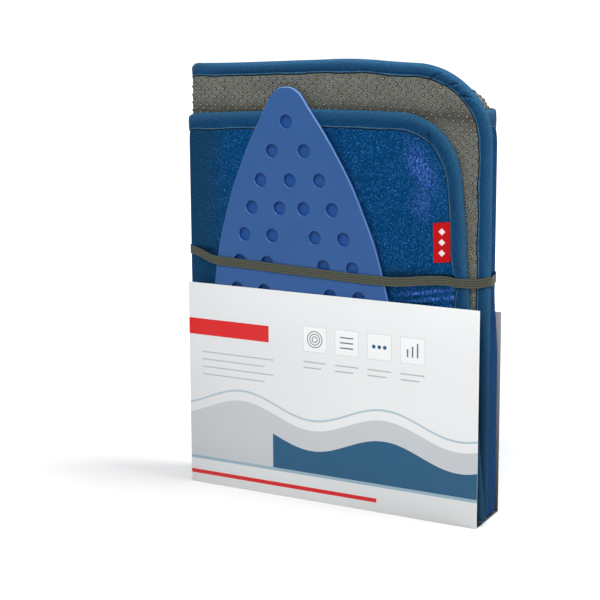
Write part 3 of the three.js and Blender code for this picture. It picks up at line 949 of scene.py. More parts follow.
@dataclass(frozen=True)
class GripCloth:
    """Grey-brown felted cloth of the non-slip base."""

    light: Tone = (143, 146, 136)
    dark: Tone = (70, 74, 70)
    brown: Tone = (112, 98, 80)
    cloudy: Tone = (46, 50, 48)
    shaded: Tone = (44, 38, 30)

    def build(self) -> Material:
        """Makes the material."""
        g = Graph("grip_cloth")
        uv = g.flat
        fibre = g.noise(uv, 620, 5, 0.7)
        cloud = g.noise(uv, 60, 3)
        tint = g.noise(uv, 240, 2)
        body = g.mix(g.spread(fibre, 0.32, 0.68, 0, 1), linear(*self.dark), linear(*self.light))
        body = g.mix(g.spread(tint, 0.45, 0.7, 0, 0.5), body, linear(*self.brown))
        body = g.mix(g.spread(cloud, 0.35, 0.65, 0.0, 0.2), body, linear(*self.cloudy))
        tone = g.kept("tone")
        body = g.mix(g.spread(tone, -1, 0, 0.6, 0), body, linear(*self.shaded))
        g.bump(fibre, 0.9, 0.0006)
        return g.finish(body, 0.95, Sheen_Weight=0.05, Specular_IOR_Level=0.1)


@dataclass(frozen=True)
class GripDotResin:
    """Clear grey resin of the raised dots, near-black at the rim and with a painted highlight on the top."""

    rim: Tone = (10, 12, 10)
    painted_highlight: Tone = (190, 191, 180)

    def build(self) -> Material:
        """Makes the material."""
        g = Graph("grip_dot_resin")
        rise = g.kept("rise")
        # Painted highlight on each dot's top; the near-black rim is the dark resin and also stands in for the
        # shade round the dot.
        colour = g.mix(g.spread(rise, 0.86, 0.99, 0, 1), linear(*self.rim), linear(*self.painted_highlight))
        coat = {"Coat_Weight": 0.6, "Coat_Roughness": 0.15, "Coat_IOR": 1.6}
        return g.finish(colour, 0.3, Specular_IOR_Level=0.5, **coat)


@dataclass(frozen=True)
class WovenTape:
    """Blue bias tape, woven fine, with painted shade at its inner edge, in its tucks and low down, and
    painted highlights on its fold and near its inner edge.
    """

    painted_lighting: Tone = (52, 104, 140)
    body: Tone = (4, 75, 123)
    dark: Tone = (2, 44, 80)
    light: Tone = (36, 100, 146)
    edge: Tone = (84, 132, 160)
    under: Tone = (6, 20, 32)
    painted_low_shade: Tone = (6, 34, 54)
    thread_mm: float = 0.42

    def build(self, width: float, fold: float, tucks: tuple[tuple[float, float], ...]) -> Material:
        """Makes the material.

        Args:
            width: The tape's width from edge to edge, in metres.
            fold: How far across the tape its outer fold is, in metres.
            tucks: Where the tape is gathered at its corners, with the side.

        Returns:
            The material.
        """
        g = Graph("woven_tape")
        uv = g.flat
        round_edge, across, _ = g.parts(uv)
        near = g.math("MINIMUM", across, g.less(width, across))
        turned = g.node("Mapping", {"Vector": uv, "Rotation": (0, 0, math.radians(45))}).outputs[0]
        weave = g.weave(turned, self.thread_mm)
        slub = g.noise(g.scaled(uv, 380, 1500), 1, 3)
        cloud = g.noise(uv, 90, 3)
        away = g.size(g.less(across, fold))
        colour = g.mix(g.spread(cloud, 0.3, 0.7, 0, 0.5), linear(*self.body), linear(*self.dark))
        # Painted highlight along the tape's rounded outer fold.
        colour = g.mix(g.spread(away, 0.0016, 0.0085, 1, 0), colour, linear(*self.painted_lighting))
        colour = g.mix(g.spread(slub, 0.5, 0.75, 0, 0.4), colour, linear(*self.light))
        fleck = g.noise(uv, 760, 3, 0.7)
        colour = g.mix(g.spread(fleck, 0.34, 0.62, 0.0, 0.5), colour, linear(*self.dark))
        colour = g.mix(g.spread(g.noise(uv, 520, 2), 0.5, 0.7, 0.0, 0.3), colour, linear(*self.light))
        # Painted shade low down, behind the card.
        level = g.parts(g.spot)[2]
        colour = g.mix(g.spread(level, 0.09, 0.185, 0.55, 0), colour, linear(*self.painted_low_shade))
        # Painted highlight just inside the inner edge, then a painted shadow line (under) along the edge
        # itself.
        broken = g.spread(g.noise(uv, 300, 2), 0.35, 0.65, 0.45, 1)
        painted_edge_highlight = g.times(g.spread(near, 0.0016, 0.0019, 0.7, 0), broken)
        colour = g.mix(painted_edge_highlight, colour, linear(*self.edge))
        colour = g.mix(g.spread(near, 0.0008, 0.0011, 1, 0), colour, linear(*self.under))
        # Painted shade along the tucks at the corners, in the under colour.
        for place, side in tucks:
            inward = g.less(width, across) if side < 0 else across
            shift = g.less(round_edge, g.math("MULTIPLY_ADD", inward, 1.2, place * MM))
            line = g.spread(g.size(shift), 0.0003, 0.0013, 0.8, 0)
            line = g.times(line, g.spread(inward, 0.006, 0.0085, 1, 0))
            colour = g.mix(line, colour, linear(*self.under))
        height = g.math("MULTIPLY_ADD", weave, 0.5, slub)
        height = g.math("MULTIPLY_ADD", fleck, 1.2, height)
        g.bump(height, 0.7, 0.00022)
        return g.finish(colour, 0.82, Sheen_Weight=0.05, Sheen_Roughness=0.4, Specular_IOR_Level=0.12)


@dataclass(frozen=True)
class SewingThread:
    """Twisted blue thread of the stitches."""

    tone: Tone = (22, 72, 108)
    dark: Tone = (12, 50, 82)

    def build(self) -> Material:
        """Makes the material."""
        g = Graph("sewing_thread")
        twist = g.noise(g.spot, 2600, 1)
        colour = g.mix(g.spread(twist, 0.35, 0.65, 0, 0.6), linear(*self.tone), linear(*self.dark))
        return g.finish(colour, 0.7, Specular_IOR_Level=0.2)


@dataclass(frozen=True)
class InnerFelt:
    """Undyed needled felt."""

    tone: Tone = (200, 194, 182)
    dark: Tone = (150, 144, 132)

    def build(self) -> Material:
        """Makes the material."""
        g = Graph("inner_felt")
        fibre = g.noise(g.flat, 700, 4, 0.7)
        colour = g.mix(g.spread(fibre, 0.3, 0.7, 0, 0.5), linear(*self.tone), linear(*self.dark))
        g.bump(fibre, 0.6, 0.0004)
        return g.finish(colour, 0.95, Sheen_Weight=0.2)


@dataclass(frozen=True)
class HeatFoil:
    """Thin crinkled aluminium film."""

    tone: Tone = (200, 203, 207)
    dark: Tone = (168, 172, 178)

    def build(self) -> Material:
        """Makes the material."""
        g = Graph("heat_foil")
        uv = g.flat
        crinkle = g.node("TexVoronoi", {"Vector": uv, "Scale": 220}).outputs["Distance"]
        g.bump(crinkle, 0.4, 0.0004)
        return g.finish(g.mix(crinkle, linear(*self.tone), linear(*self.dark)), 0.35, Metallic=1.0)


@dataclass(frozen=True)
class Silicone:
    """Periwinkle-blue satin silicone, a deeper blue inside its dimples, with painted highlights on its
    rounded edges.
    """

    tone: Tone = (40, 84, 142)
    thin: Tone = (12, 72, 140)
    pale: Tone = (52, 94, 154)
    rim: Tone = (128, 160, 216)

    def build(self, floor_y: float, front_y: float) -> Material:
        """Makes the material.

        Args:
            floor_y: Where the dimples' floors lie, in metres.
            front_y: Where the front face lies, in metres.

        Returns:
            The material.
        """
        g = Graph("silicone")
        spot = g.spot
        depth = g.parts(spot)[1]
        inside = g.spread(depth, front_y + 0.35 * (floor_y - front_y), floor_y, 0, 1)
        cloud = g.noise(spot, 26, 3)
        colour = g.mix(g.spread(cloud, 0.35, 0.65, 0, 0.25), linear(*self.tone), linear(*self.pale))
        # Painted highlight: outside the dimples, the rounded edges, where the surface turns from facing front
        # or back, are lightened.
        facing = g.parts(g.facing)[1]
        turned = g.spread(g.size(facing), 0.55, 0.97, 0.8, 0)
        colour = g.mix(g.times(turned, g.less(1.0, inside)), colour, linear(*self.rim))
        # Inside the dimples, by depth, the colour turns to the deeper blue held in thin.
        colour = g.mix(inside, colour, linear(*self.thin))
        g.bump(g.noise(spot, 1500, 2), 0.12, 0.0001)
        rough = g.spread(g.noise(spot, 80, 3), 0.3, 0.7, 0.42, 0.56)
        return g.finish(colour, rough, Specular_IOR_Level=0.3, Subsurface_Weight=0.06, Subsurface_Scale=0.004)


@dataclass(frozen=True)
class RibbedElastic:
    """Olive-grey elastic, knitted along its ribs."""

    tone: Tone = (92, 94, 80)
    dark: Tone = (44, 48, 42)

    def build(self, width: float, ribs: int) -> Material:
        """Makes the material.

        Args:
            width: The band's width, in metres.
            ribs: How many ribs run along it.
        """
        g = Graph("ribbed_elastic")
        uv = g.flat
        turn = g.times(g.parts(uv)[1], math.pi * ribs / width)
        groove = g.spread(g.size(g.math("SINE", turn)), 0.1, 0.7, 0.75, 0)
        knit = g.noise(g.scaled(uv, 900, 2600), 1, 2)
        colour = g.mix(g.spread(knit, 0.35, 0.68, 0, 0.6), linear(*self.tone), linear(*self.dark))
        # Painted shade in the grooves between the ribs.
        colour = g.mix(groove, colour, linear(*self.dark))
        g.bump(knit, 0.6, 0.00015)
        return g.finish(colour, 0.85, Sheen_Weight=0.08, Specular_IOR_Level=0.15)


@dataclass(frozen=True)
class LabelRibbon:
    """Red woven ribbon with three plain white lozenges."""

    tone: Tone = (196, 8, 12)
    dark: Tone = (160, 4, 8)
    motif: Tone = (238, 226, 222)
    motif_step: float = 0.0078
    motif_half: float = 0.0026

    def build(self, centre_x: float, centre_z: float) -> Material:
        """Makes the material.

        Args:
            centre_x: The label's middle, in metres.
            centre_z: The height of its middle, in metres.

        Returns:
            The material.
        """
        g = Graph("label_ribbon")
        x, _, z = g.parts(g.spot)
        across = g.size(g.less(x, centre_x))
        white = None
        for step in (-self.motif_step, 0.0, self.motif_step):
            along = g.size(g.less(z, centre_z + step))
            inside = g.math("LESS_THAN", g.math("ADD", along, across), self.motif_half)
            white = inside if white is None else g.math("MAXIMUM", white, inside)
        weave = g.noise(g.scaled(g.flat, 1800, 3600), 1, 2)
        body = g.mix(g.spread(weave, 0.35, 0.65, 0, 0.4), linear(*self.tone), linear(*self.dark))
        g.bump(weave, 0.5, 0.0001)
        return g.finish(g.mix(white, body, linear(*self.motif)), 0.7, Specular_IOR_Level=0.15)


@dataclass(frozen=True)
class PrintMark:
    """One mark of the card's print, placed from the front panel's lower left corner."""

    kind: Mark
    x: float
    z: float
    size_x: float
    size_z: float
    colour: Tone


TEAL, RED, RULE, INK = (14, 82, 118), (214, 18, 22), (176, 180, 182), (96, 102, 106)
FRONT_PRINT = (
    PrintMark(Mark.HILL, 122.5, 52.0, 122.5, 12.0, (196, 200, 203)),
    PrintMark(Mark.HILL, 160.0, 36.0, 85.0, 12.0, TEAL),
    PrintMark(Mark.BAR, 122.5, 10.0, 122.5, 10.0, (224, 225, 225)),
    PrintMark(Mark.BAR, 122.5, 21.0, 122.5, 1.2, (150, 176, 190)),
    PrintMark(Mark.WAVE, 122.5, 72.0, 122.5, 0.8, (176, 194, 204)),
    PrintMark(Mark.BAR, 36.0, 128.0, 36.0, 6.5, RED),
    PrintMark(Mark.BAR, 82.0, 9.0, 82.0, 1.6, RED),
)


def print_signs() -> tuple[PrintMark, ...]:
    """The print's small framed signs and its rules."""
    marks: list[PrintMark] = []
    for place in range(4):
        x = 112.0 + 27.0 * place
        marks.append(PrintMark(Mark.BAR, x, 128.0, 10.0, 10.0, (206, 209, 210)))
        marks.append(PrintMark(Mark.BAR, x, 128.0, 9.6, 9.6, (242, 243, 243)))
        marks.append(PrintMark(Mark.BAR, x, 110.0, 9.6, 0.5, RULE))
        marks.append(PrintMark(Mark.BAR, x - 2.0, 105.5, 7.6, 0.5, RULE))
    for step in range(3):
        marks.append(PrintMark(Mark.RING, 112.0, 128.0, 2.2 + 2.0 * step, 0.35, INK))
        marks.append(PrintMark(Mark.BAR, 139.0, 124.0 + 4.0 * step, 5.5, 0.5, INK))
        marks.append(PrintMark(Mark.DISC, 161.5 + 4.5 * step, 128.0, 1.5, 0, TEAL))
        marks.append(PrintMark(Mark.BAR, 189.0 + 4.0 * step, 126.0 + 1.2 * step, 0.6, 3.0 + 1.2 * step, INK))
    for line in range(4):
        short = 4.0 * (line % 2)
        marks.append(PrintMark(Mark.BAR, 44.0 - short, 108.0 - 6.0 * line, 32.0 - short, 0.45, RULE))
    return tuple(marks)


@dataclass(frozen=True)
class CoatedCard:
    """White coated card, printed on its outer front and plain elsewhere, with painted shade deepening down
    its grey lining.
    """

    board: Tone = (222, 222, 220)
    fleck: Tone = (206, 206, 204)
    paper_left: Tone = (222, 223, 224)
    paper_right: Tone = (233, 234, 234)
    inside: Tone = (176, 177, 179)
    deep: Tone = (84, 86, 90)

    def build(
        self,
        name: str,
        inner: tuple[int, int, int],
        left: float,
        outer_y: float,
        marks: tuple[PrintMark, ...],
    ) -> Material:
        """Makes the material of one panel.

        Args:
            name: The material's name.
            inner: The direction that the panel's lined side faces.
            left: The panel's left edge, in metres.
            outer_y: The printed face lies before this, in metres.
            marks: What is printed, from the ground up.

        Returns:
            The material.
        """
        g = Graph(name)
        spot = g.spot
        from_middle, depth, level = g.parts(spot)
        fibre = g.noise(spot, 900, 3, 0.6)
        # Painted shade: the lining darkens towards the bottom of the card.
        painted_depth_shade = g.spread(level, 0.0, 0.15, 1, 0)
        lining = g.mix(painted_depth_shade, linear(*self.inside), linear(*self.deep))
        facing = g.node("VectorMath", {0: g.facing, 1: inner}, operation="DOT_PRODUCT")
        colour = g.mix(g.spread(fibre, 0.3, 0.7, 0, 0.12), linear(*self.board), linear(*self.fleck))
        colour = g.mix(g.math("GREATER_THAN", facing.outputs["Value"], 0.6), colour, lining)
        if marks:
            x = g.times(g.less(from_middle, left), 1000)
            z = g.times(level, 1000)
            sheet = g.mix(g.spread(x, 0, 150, 0, 1), linear(*self.paper_left), linear(*self.paper_right))
            for mark in marks:
                sheet = g.mix(self._inside(g, x, z, mark), sheet, linear(*mark.colour))
            colour = g.mix(g.math("LESS_THAN", depth, outer_y), colour, sheet)
        g.bump(fibre, 0.08, 0.0001)
        return g.finish(colour, g.spread(g.noise(spot, 60, 2), 0.3, 0.7, 0.34, 0.44), Specular_IOR_Level=0.4)

    def _inside(self, g: Graph, x: Socket, z: Socket, mark: PrintMark) -> Socket:
        """Tells where a mark's colour lies.

        Args:
            g: The material's nodes.
            x: Distance from the panel's left, in millimetres.
            z: Height, in millimetres.
            mark: The mark.

        Returns:
            1 inside the mark and 0 elsewhere.
        """
        if mark.kind in (Mark.DISC, Mark.RING):
            place = g.node("CombineXYZ", {0: x, 1: z}).outputs[0]
            made = g.node("VectorMath", {0: place, 1: (mark.x, mark.z, 0)}, operation="DISTANCE")
            away = made.outputs["Value"]
            if mark.kind is Mark.DISC:
                return g.math("LESS_THAN", away, mark.size_x)
            return g.math("COMPARE", away, mark.size_x, mark.size_z)
        across = g.math("COMPARE", x, mark.x, mark.size_x)
        level: Socket = z
        if mark.kind in (Mark.WAVE, Mark.HILL):
            turn = g.math("MULTIPLY_ADD", x, 2 * math.pi / 122, -0.9)
            rise = g.times(g.math("SINE", turn), 8.0)
            level = g.less(z, rise)
        if mark.kind is Mark.HILL:
            return g.times(across, g.math("LESS_THAN", level, mark.z + mark.size_z))
        return g.times(across, g.math("COMPARE", level, mark.z, mark.size_z))


class MatLayers:
    """The mat's five layers, folded and rolled."""

    CORNER_SPAN = 78.0

    def __init__(self, roll: Roll) -> None:
        """Keeps the roll that gives each layer its shape."""
        self.roll = roll

    def rows(self, fine: bool) -> np.ndarray:
        """Places across the strip, from the front leaf's edge round the fold to the rear leaf's."""
        roll = self.roll
        half, seat = roll.half_turn, roll.centre_height
        step = 4.0 if fine else 12.0
        heights = [*np.arange(302.0, 202.0, -step), *np.arange(200.0, 156.0, -1.25)]
        heights += [*np.arange(155.0, 8.0, -12.0)]
        back = [*np.arange(8.0, 292.0, 12.0), *np.arange(294.0, 339.0, 3.0 if fine else 6.0)]
        front = [height - seat + half for height in heights]
        rear = [-(height - seat + half) for height in back]
        fold = list(np.linspace(half, -half, 9 if fine else 5))
        return np.array([roll.front_edge, *front[1:], *fold, *rear, -roll.rear_edge])

    def cut(self, fine: bool) -> tuple[np.ndarray, np.ndarray]:
        """Cuts a layer's outline, inside the binding.

        Args:
            fine: True for the layers that show.

        Returns:
            The distances along and across the strip, by column and row.
        """
        roll, mat = self.roll, self.roll.mat
        inset = 2.2 if fine else 3.4
        radius = mat.corner_radius - inset
        steps = 20
        ends = inset + radius * (1 - np.cos(np.arange(steps) / steps * math.pi / 2))
        body = roll.stations(3.0, 7.5 if fine else 14.0, 5 if fine else 3)
        s = np.concatenate([ends, body, (roll.length - ends)[::-1]])
        rows = self.rows(fine)
        away = np.minimum(s, roll.length - s) - inset
        arc = radius - np.sqrt(np.maximum(0, radius**2 - (radius - away) ** 2))
        drop = inset + np.where(away < radius, arc, 0)
        u = np.tile(rows, (len(s), 1))
        for edge, sign in ((roll.front_edge, 1), (roll.rear_edge, -1)):
            bend = edge - self.CORNER_SPAN
            share = (edge - drop[:, None] - bend) / (edge - bend)
            level = sign * u
            u = np.where(level > bend, sign * (bend + (level - bend) * share), u)
        return np.tile(s[:, None], (1, len(rows))), u

    def build(self) -> list[Piece]:
        """Makes and dresses every layer, from the base out.

        Returns:
            The layers.
        """
        roll = self.roll
        dressing = {
            Ply.BASE: (GripCloth().build(), "base", "non_slip_base"),
            Ply.FELT_LOWER: (InnerFelt().build(), "felt", "felt_lower"),
            Ply.FELT_UPPER: (InnerFelt().build(), "felt", "felt_upper"),
            Ply.FOIL: (HeatFoil().build(), "foil", "reflective_layer"),
            Ply.COVER: (GlitterCloth().build(), "cover", "top_cover"),
        }
        made = []
        for ply, (material, slot, node) in dressing.items():
            s, u = self.cut(ply in (Ply.BASE, Ply.COVER))
            face, thickness = roll.faces[ply]
            side = -1.0 if ply is Ply.BASE else 1.0
            places = roll.folded(s, u, face)
            i, j = s.shape[0] // 2, s.shape[1] // 2
            beyond = roll.folded(s[i, j], u[i, j], face + side * 0.5)
            shadow = -bell(roll.height_at(u), 302, 6)
            tone = roll.tone(s, u) if ply is Ply.COVER else shadow
            piece = cloth_grid(places, stacked(s, u), beyond, tone=tone)
            thicken(piece, thickness, 50)
            dress(piece, ply.value, "mat", material, (node,))
            made.append(piece)
        return made


@dataclass(frozen=True)
class GripDotSizes:
    """Sizes and spacing of the base's raised dots."""

    radius: float = 1.45
    rise: float = 0.8
    column_pitch: float = 6.9
    row_pitch: float = 3.35
    wander: float = 0.6
    end_margin: float = 12.0
    side_margin: float = 4.0
    tape_margin: float = 0.5
    shown_above: float = 297.0
    end_shown: float = 48.0
    end_shown_above: float = 150.0


class GripDots:
    """The raised dots of the base, where it shows."""

    def __init__(self, roll: Roll, sizes: GripDotSizes) -> None:
        """Keeps the roll and the dots' sizes."""
        self.roll = roll
        self.sizes = sizes

    def spots(self) -> tuple[np.ndarray, np.ndarray]:
        """The dots' places on the flat mat, along and across the strip."""
        roll, dot = self.roll, self.sizes
        along = np.arange(dot.end_margin, roll.length - dot.end_margin, dot.column_pitch)
        across = -np.arange(roll.half_turn + dot.side_margin, roll.rear_edge - dot.side_margin, dot.row_pitch)
        s, u = np.meshgrid(along, across, indexing="ij")
        s = s + (np.arange(len(across)) % 2)[None, :] * dot.column_pitch / 2
        s, u = s.ravel(), u.ravel()
        s, u = s + dot.wander * ripple(s, u, 11, 1.3), u + 0.8 * dot.wander * ripple(u, s, 14, 2.9)
        height = roll.height_at(u)
        outer = s < roll.first_straight + 2 * roll.mat.panel_width + 60
        by_end = (s < dot.end_shown) & (height > dot.end_shown_above)
        shown = outer & ((height > dot.shown_above) | by_end)
        shown &= roll.edge_distance(s, u) > roll.mat.tape_base_side + dot.tape_margin
        return s[shown], u[shown]

    def build(self) -> Piece:
        """Makes the dots from one dome and dresses them."""
        roll, dot = self.roll, self.sizes
        ball = {"segments": 8, "ring_count": 6, "radius": 1.0, "location": (0, 0, 0)}
        dome = added(bpy.ops.mesh.primitive_uv_sphere_add, **ball)
        edit(dome)
        bpy.ops.mesh.bisect(plane_co=(0, 0, -0.05), plane_no=(0, 0, 1), clear_inner=True)
        bpy.ops.object.mode_set(mode="OBJECT")
        s, u = self.spots()
        face = roll.base_depth
        centres = roll.folded(s, u, face)
        along = roll.folded(s + 0.5, u, face) - roll.folded(s - 0.5, u, face)
        normal = roll.folded(s, u, face - 0.5) - roll.folded(s, u, face + 0.5)
        along, normal = squared(along, normal)
        side = np.cross(normal, along)
        size = 0.9 + 0.16 * ripple(7 * s, 5 * u, 9, 0.7)[:, None]
        halves = [along * dot.radius * size, side * dot.radius * size, normal * dot.rise * size]
        axes = np.stack(halves, axis=1) * MM
        piece = copies(dome, centres, axes)
        shade_smooth(piece, 80)
        return dress(piece, "mat_grip_dots", "mat", GripDotResin().build(), ())


class EdgeBinding:
    """The bias tape round the mat's edge, and its stitches."""

    def __init__(self, roll: Roll) -> None:
        """Works out the path of the mat's edge."""
        self.roll = roll
        self.tape = TapeSizes()
        self.path = self._path()
        rear = self.path[-1, 0] - roll.front_edge - roll.rear_edge + 2 * roll.mat.corner_radius
        turns = ((rear, 1.40, -1.0), (rear, 1.12, -1.0), (rear, 0.86, -1.0), (0.0, 0.9, 1.0))
        self.tucks = tuple((end + side * roll.mat.corner_radius * turn, side) for end, turn, side in turns)

    def _path(self) -> np.ndarray:
        """Goes once round the mat's edge.

        Returns:
            Rows of distance round, s, u, and the inward direction along and across.
        """
        roll = self.roll
        radius = roll.mat.corner_radius
        turn = np.linspace(0, math.pi / 2, 62)
        cos, sin = np.cos(turn), np.sin(turn)
        body = roll.stations(3.0, 6.0, 6)[1:-1]
        front, rear, end = roll.front_edge, roll.rear_edge, roll.length
        climb = np.concatenate(
            [
                np.arange(front - radius - 3, 30, -3.0),
                np.linspace(28, 5, 8),
                np.linspace(3.2, -3.2, 9),
                -np.linspace(5, 28, 8),
                -np.arange(30, rear - radius - 1, 3.0),
            ]
        )
        along, across = radius * (1 - cos), radius * (1 - sin)
        stretches = [
            stacked(along, front - across, cos, -sin),
            stacked(body, front, 0.0, -1.0),
            stacked(end - along, front - across, -cos, -sin)[::-1],
            stacked(end, climb, -1.0, 0.0),
            stacked(end - along, -rear + across, -cos, sin),
            stacked(body[::-1], -rear, 0.0, 1.0),
            stacked(along, -rear + across, cos, sin)[::-1],
            stacked(0.0, climb[::-1], 1.0, 0.0),
        ]
        rows = np.concatenate(stretches)
        rows = np.vstack([rows, rows[:1]])
        return np.column_stack([distances(rows[:, :2]), rows])

    def at(self, t: np.ndarray) -> np.ndarray:
        """The path's s, u and inward direction at distances round the edge."""
        return np.stack([np.interp(t, self.path[:, 0], self.path[:, k]) for k in range(1, 5)], axis=1)

    def surface(
        self, t: np.ndarray, into: np.ndarray, depth: np.ndarray, cover_side: np.ndarray
    ) -> np.ndarray:
        """Finds points on the tape's outer surface.

        Args:
            t: Distances round the edge, by column.
            into: Distances in from the edge, by row.
            depth: The plain depth there, by row.
            cover_side: 1 on the ironing face, -1 on the base, by row.

        Returns:
            The points by column and row.
        """
        roll, tape = self.roll, self.tape
        s, u, in_s, in_u = (part[:, None] for part in self.at(t).T)
        t, into = np.broadcast_arrays(t[:, None], into[None, :])
        outer = cover_side > 0
        width = np.where(outer, roll.mat.tape_cover_side, roll.mat.tape_base_side)
        height, x = roll.height_at(u), roll.x_at(s)
        seam = width - tape.seam_inset
        waver = np.where(outer, 0.4, 0.6) * ripple(t, cover_side * 9.0, 34, 1.1)
        waver = waver * smooth(into, 0.55 * width, width)
        open_face = np.maximum(smooth(x, 46, 66), smooth(-x, 96, 112))
        open_face = open_face * np.where(s < roll.first_straight, 1, 0)
        hump = np.sin(math.pi * np.clip(into / seam, 0, 1)) ** 0.8
        dip = -tape.seam_dip * bell(into, seam, 0.6) + tape.lip_rise * bell(into, width - 1.2, 0.45)
        dip = dip - tape.lip_fall * smooth(into, width - 0.7, width)
        corner = np.abs(in_s * in_u) * 2
        drawn = t / tape.gather_pitch + 0.32 * into / seam + 0.25 * ripple(t, into, 21, 0.6)
        gather = np.sin(2 * math.pi * drawn)
        rucks = (0.05 + tape.corner_gather * corner) * gather * bell(into, 0.72 * seam, 0.42 * seam)
        free = smooth(-u, roll.across_at(303.0), roll.across_at(318.0))
        free = free * (1 - 0.95 * smooth(s, roll.first_straight - 30, roll.first_straight))
        fold = np.zeros_like(into)
        for place, side in self.tucks:
            off = t - place - tape.tuck_slope * (width - into)
            tuck = tape.tuck_rise * bell(off, 3.0, 2.0) - tape.tuck_dip * bell(off, 0, 1.5)
            fold = fold + np.where(cover_side == side, tuck, 0)
        fold = fold * smooth(into, 1.5, 5) * smooth(width - into, 1, 3)
        soft = np.where(outer, 0.15 + 0.85 * open_face, 0.06 + 1.5 * free) * hump
        soft = soft + 0.07 * ripple(t, into, 12, 2.0)
        soft = soft + fold + np.where(outer, rucks, rucks * (0.2 + 2.0 * free))
        relief = np.maximum(soft + dip * np.where(outer, 1.0, 0.7), tape.least_relief)
        nose = smooth(into, 0.0, 2.2)
        moved = depth + np.where(outer, relief, -relief) * nose
        pinch = bell(height, 180, 9) * smooth(x, 84, 96) * np.where((s < 30) & (u > 0), 1, 0)
        into = (into + waver) * (1 - tape.band_pinch * pinch * smooth(into, 2, 8))
        return roll.folded(s + in_s * into, u + in_u * into, moved)

    def profile(self) -> tuple[np.ndarray, np.ndarray, np.ndarray, np.ndarray]:
        """The tape's section from the ironing face round the edge to the base.

        Returns:
            The distances in, depths and sides of its points, and the distance across the tape.
        """
        roll, mat = self.roll, self.roll.mat
        outer, inner = roll.tape_face, mat.half_gap
        wide, narrow = mat.tape_cover_side, mat.tape_base_side
        hem = (0.0, 0.5, 1.0, 1.5, 2.0)
        cover = [*(wide - back for back in hem), wide - 2.8, 9.2, 7.4, 5.8, 4.4, 3.3]
        base = [3.3, 4.4, 5.7, 7.0, narrow - 2.6, *(narrow - back for back in hem[::-1])]
        turn = np.linspace(math.pi / 2, -math.pi / 2, 9)
        nose_in = 2.5 * (1 - np.cos(turn))
        nose_depth = (outer + inner) / 2 + (outer - inner) / 2 * np.sin(turn)
        into = np.concatenate([cover, nose_in, base])
        depth = np.concatenate([[outer] * len(cover), nose_depth, [inner] * len(base)])
        side = np.concatenate([[1.0] * len(cover), np.where(turn > 0, 1.0, -1.0), [-1.0] * len(base)])
        steps = np.hypot(np.diff(into), np.diff(depth))
        return into, depth, side, np.concatenate([[0], np.cumsum(steps)])

    def build(self) -> Piece:
        """Makes and dresses the tape."""
        into, depth, side, across = self.profile()
        t = self.path[:, 0]
        places = self.surface(t, into, depth, side)
        places[-1] = places[0]
        flat = stacked(t[:, None], across[None, :])
        i, j = places.shape[0] // 2, places.shape[1] // 2
        s, u, in_s, in_u = self.at(t[i : i + 1])[0]
        beyond = self.roll.folded(s - in_s, u - in_u, depth[j])
        piece = cloth_grid(places, flat, beyond, ring=True)
        thicken(piece, self.tape.ply, 50)
        finish = WovenTape().build(across[-1] * MM, across[int(np.argmin(into))] * MM, self.tucks)
        return dress(piece, "mat_binding", "mat", finish, ("edge_binding",))

    def stitches(self) -> Piece:
        """Sews the tape on both sides, from one stitch."""
        roll, mat, tape = self.roll, self.roll.mat, self.tape
        lying = {"segments": 6, "ring_count": 5, "radius": 1.0, "rotation": (0, math.pi / 2, 0)}
        stitch = added(bpy.ops.mesh.primitive_uv_sphere_add, **lying)
        settle(stitch)
        t = np.arange(1.0, self.path[-1, 0] - 3.0, tape.stitch_pitch)
        centres, axes = [], []
        seams = ((1.0, mat.tape_cover_side, roll.tape_face), (-1.0, mat.tape_base_side, mat.half_gap))
        for side, width, depth in seams:
            into, sides = np.array([width - tape.seam_inset]), np.array([side])

            def point(shift: float, move: float, lift: float) -> np.ndarray:
                """A point on the seam, moved along, in and out."""
                return self.surface(t + shift, into + move, np.array([depth + side * lift]), sides)[:, 0]

            centre = point(0, 0, tape.stitch_rise)
            along = point(0.8, 0, 0) - point(-0.8, 0, 0)
            normal = point(0, 0, 0.5) - point(0, 0, -0.5)
            along, normal = squared(along, normal)
            centres.append(centre)
            turned = zip((along, np.cross(normal, along), normal), tape.stitch_halves)
            axes.append(np.stack([way * half for way, half in turned], axis=1) * MM)
        piece = copies(stitch, np.concatenate(centres), np.concatenate(axes))
        shade_smooth(piece, 80)
        return dress(piece, "binding_stitches", "mat", SewingThread().build(), ())


class SewnLabel:
    """The folded ribbon label beside the binding."""

    def __init__(self, roll: Roll, sizes: LabelSizes) -> None:
        """Keeps the roll and the label's sizes."""
        self.roll = roll
        self.sizes = sizes

    def build(self) -> Piece:
        """Makes and dresses the label, as one ribbon folded at its free edge."""
        roll, label = self.roll, self.sizes
        box_low, box_high = (np.array(corner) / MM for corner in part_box("sewn_label"))
        seam_x, front_y = box_high[0] + label.seam_reach, box_low[1]
        turn = 14
        heights = np.linspace(-label.height / 2, label.height / 2, 16)
        out = np.linspace(0, label.width, turn + 1)
        run = np.concatenate([out, np.linspace(label.width, 0, turn + 1)[1:]])
        lift = np.concatenate([np.zeros(turn + 1), np.full(turn, label.ply + label.ply_gap)])
        lift[turn - 1 : turn + 2] = np.array([0.06, 0.16, 0.26])
        run[turn] = label.width + 0.1
        length = np.concatenate([[0], np.cumsum(np.abs(np.diff(run)) + 0.01)])
        run, across = run[:, None], heights[None, :]
        x = seam_x - run - label.lean * across
        curl = label.curl * (run / label.width) ** 2 + 0.18 * np.sin(across / 9.0) * run / label.width
        y = front_y - curl + lift[:, None]
        z = label.centre_height + across + label.droop * (label.width / 2 - run)
        places = stacked(x, y, z)
        flat = stacked(length[:, None], across + label.height / 2)
        probe = places[turn, 8] + np.array([0.0, -1.0, 0.0])
        piece = cloth_grid(places, flat, probe)
        thicken(piece, label.woven, 40)
        centre_x = (seam_x - label.width / 2) * MM
        material = LabelRibbon().build(centre_x, label.centre_height * MM)
        dress(piece, "side_label", "label", material, ("sewn_label",))
        LOG.info("label at x %.1f, front face of the roll %.1f", seam_x, roll.front_face)
        return piece


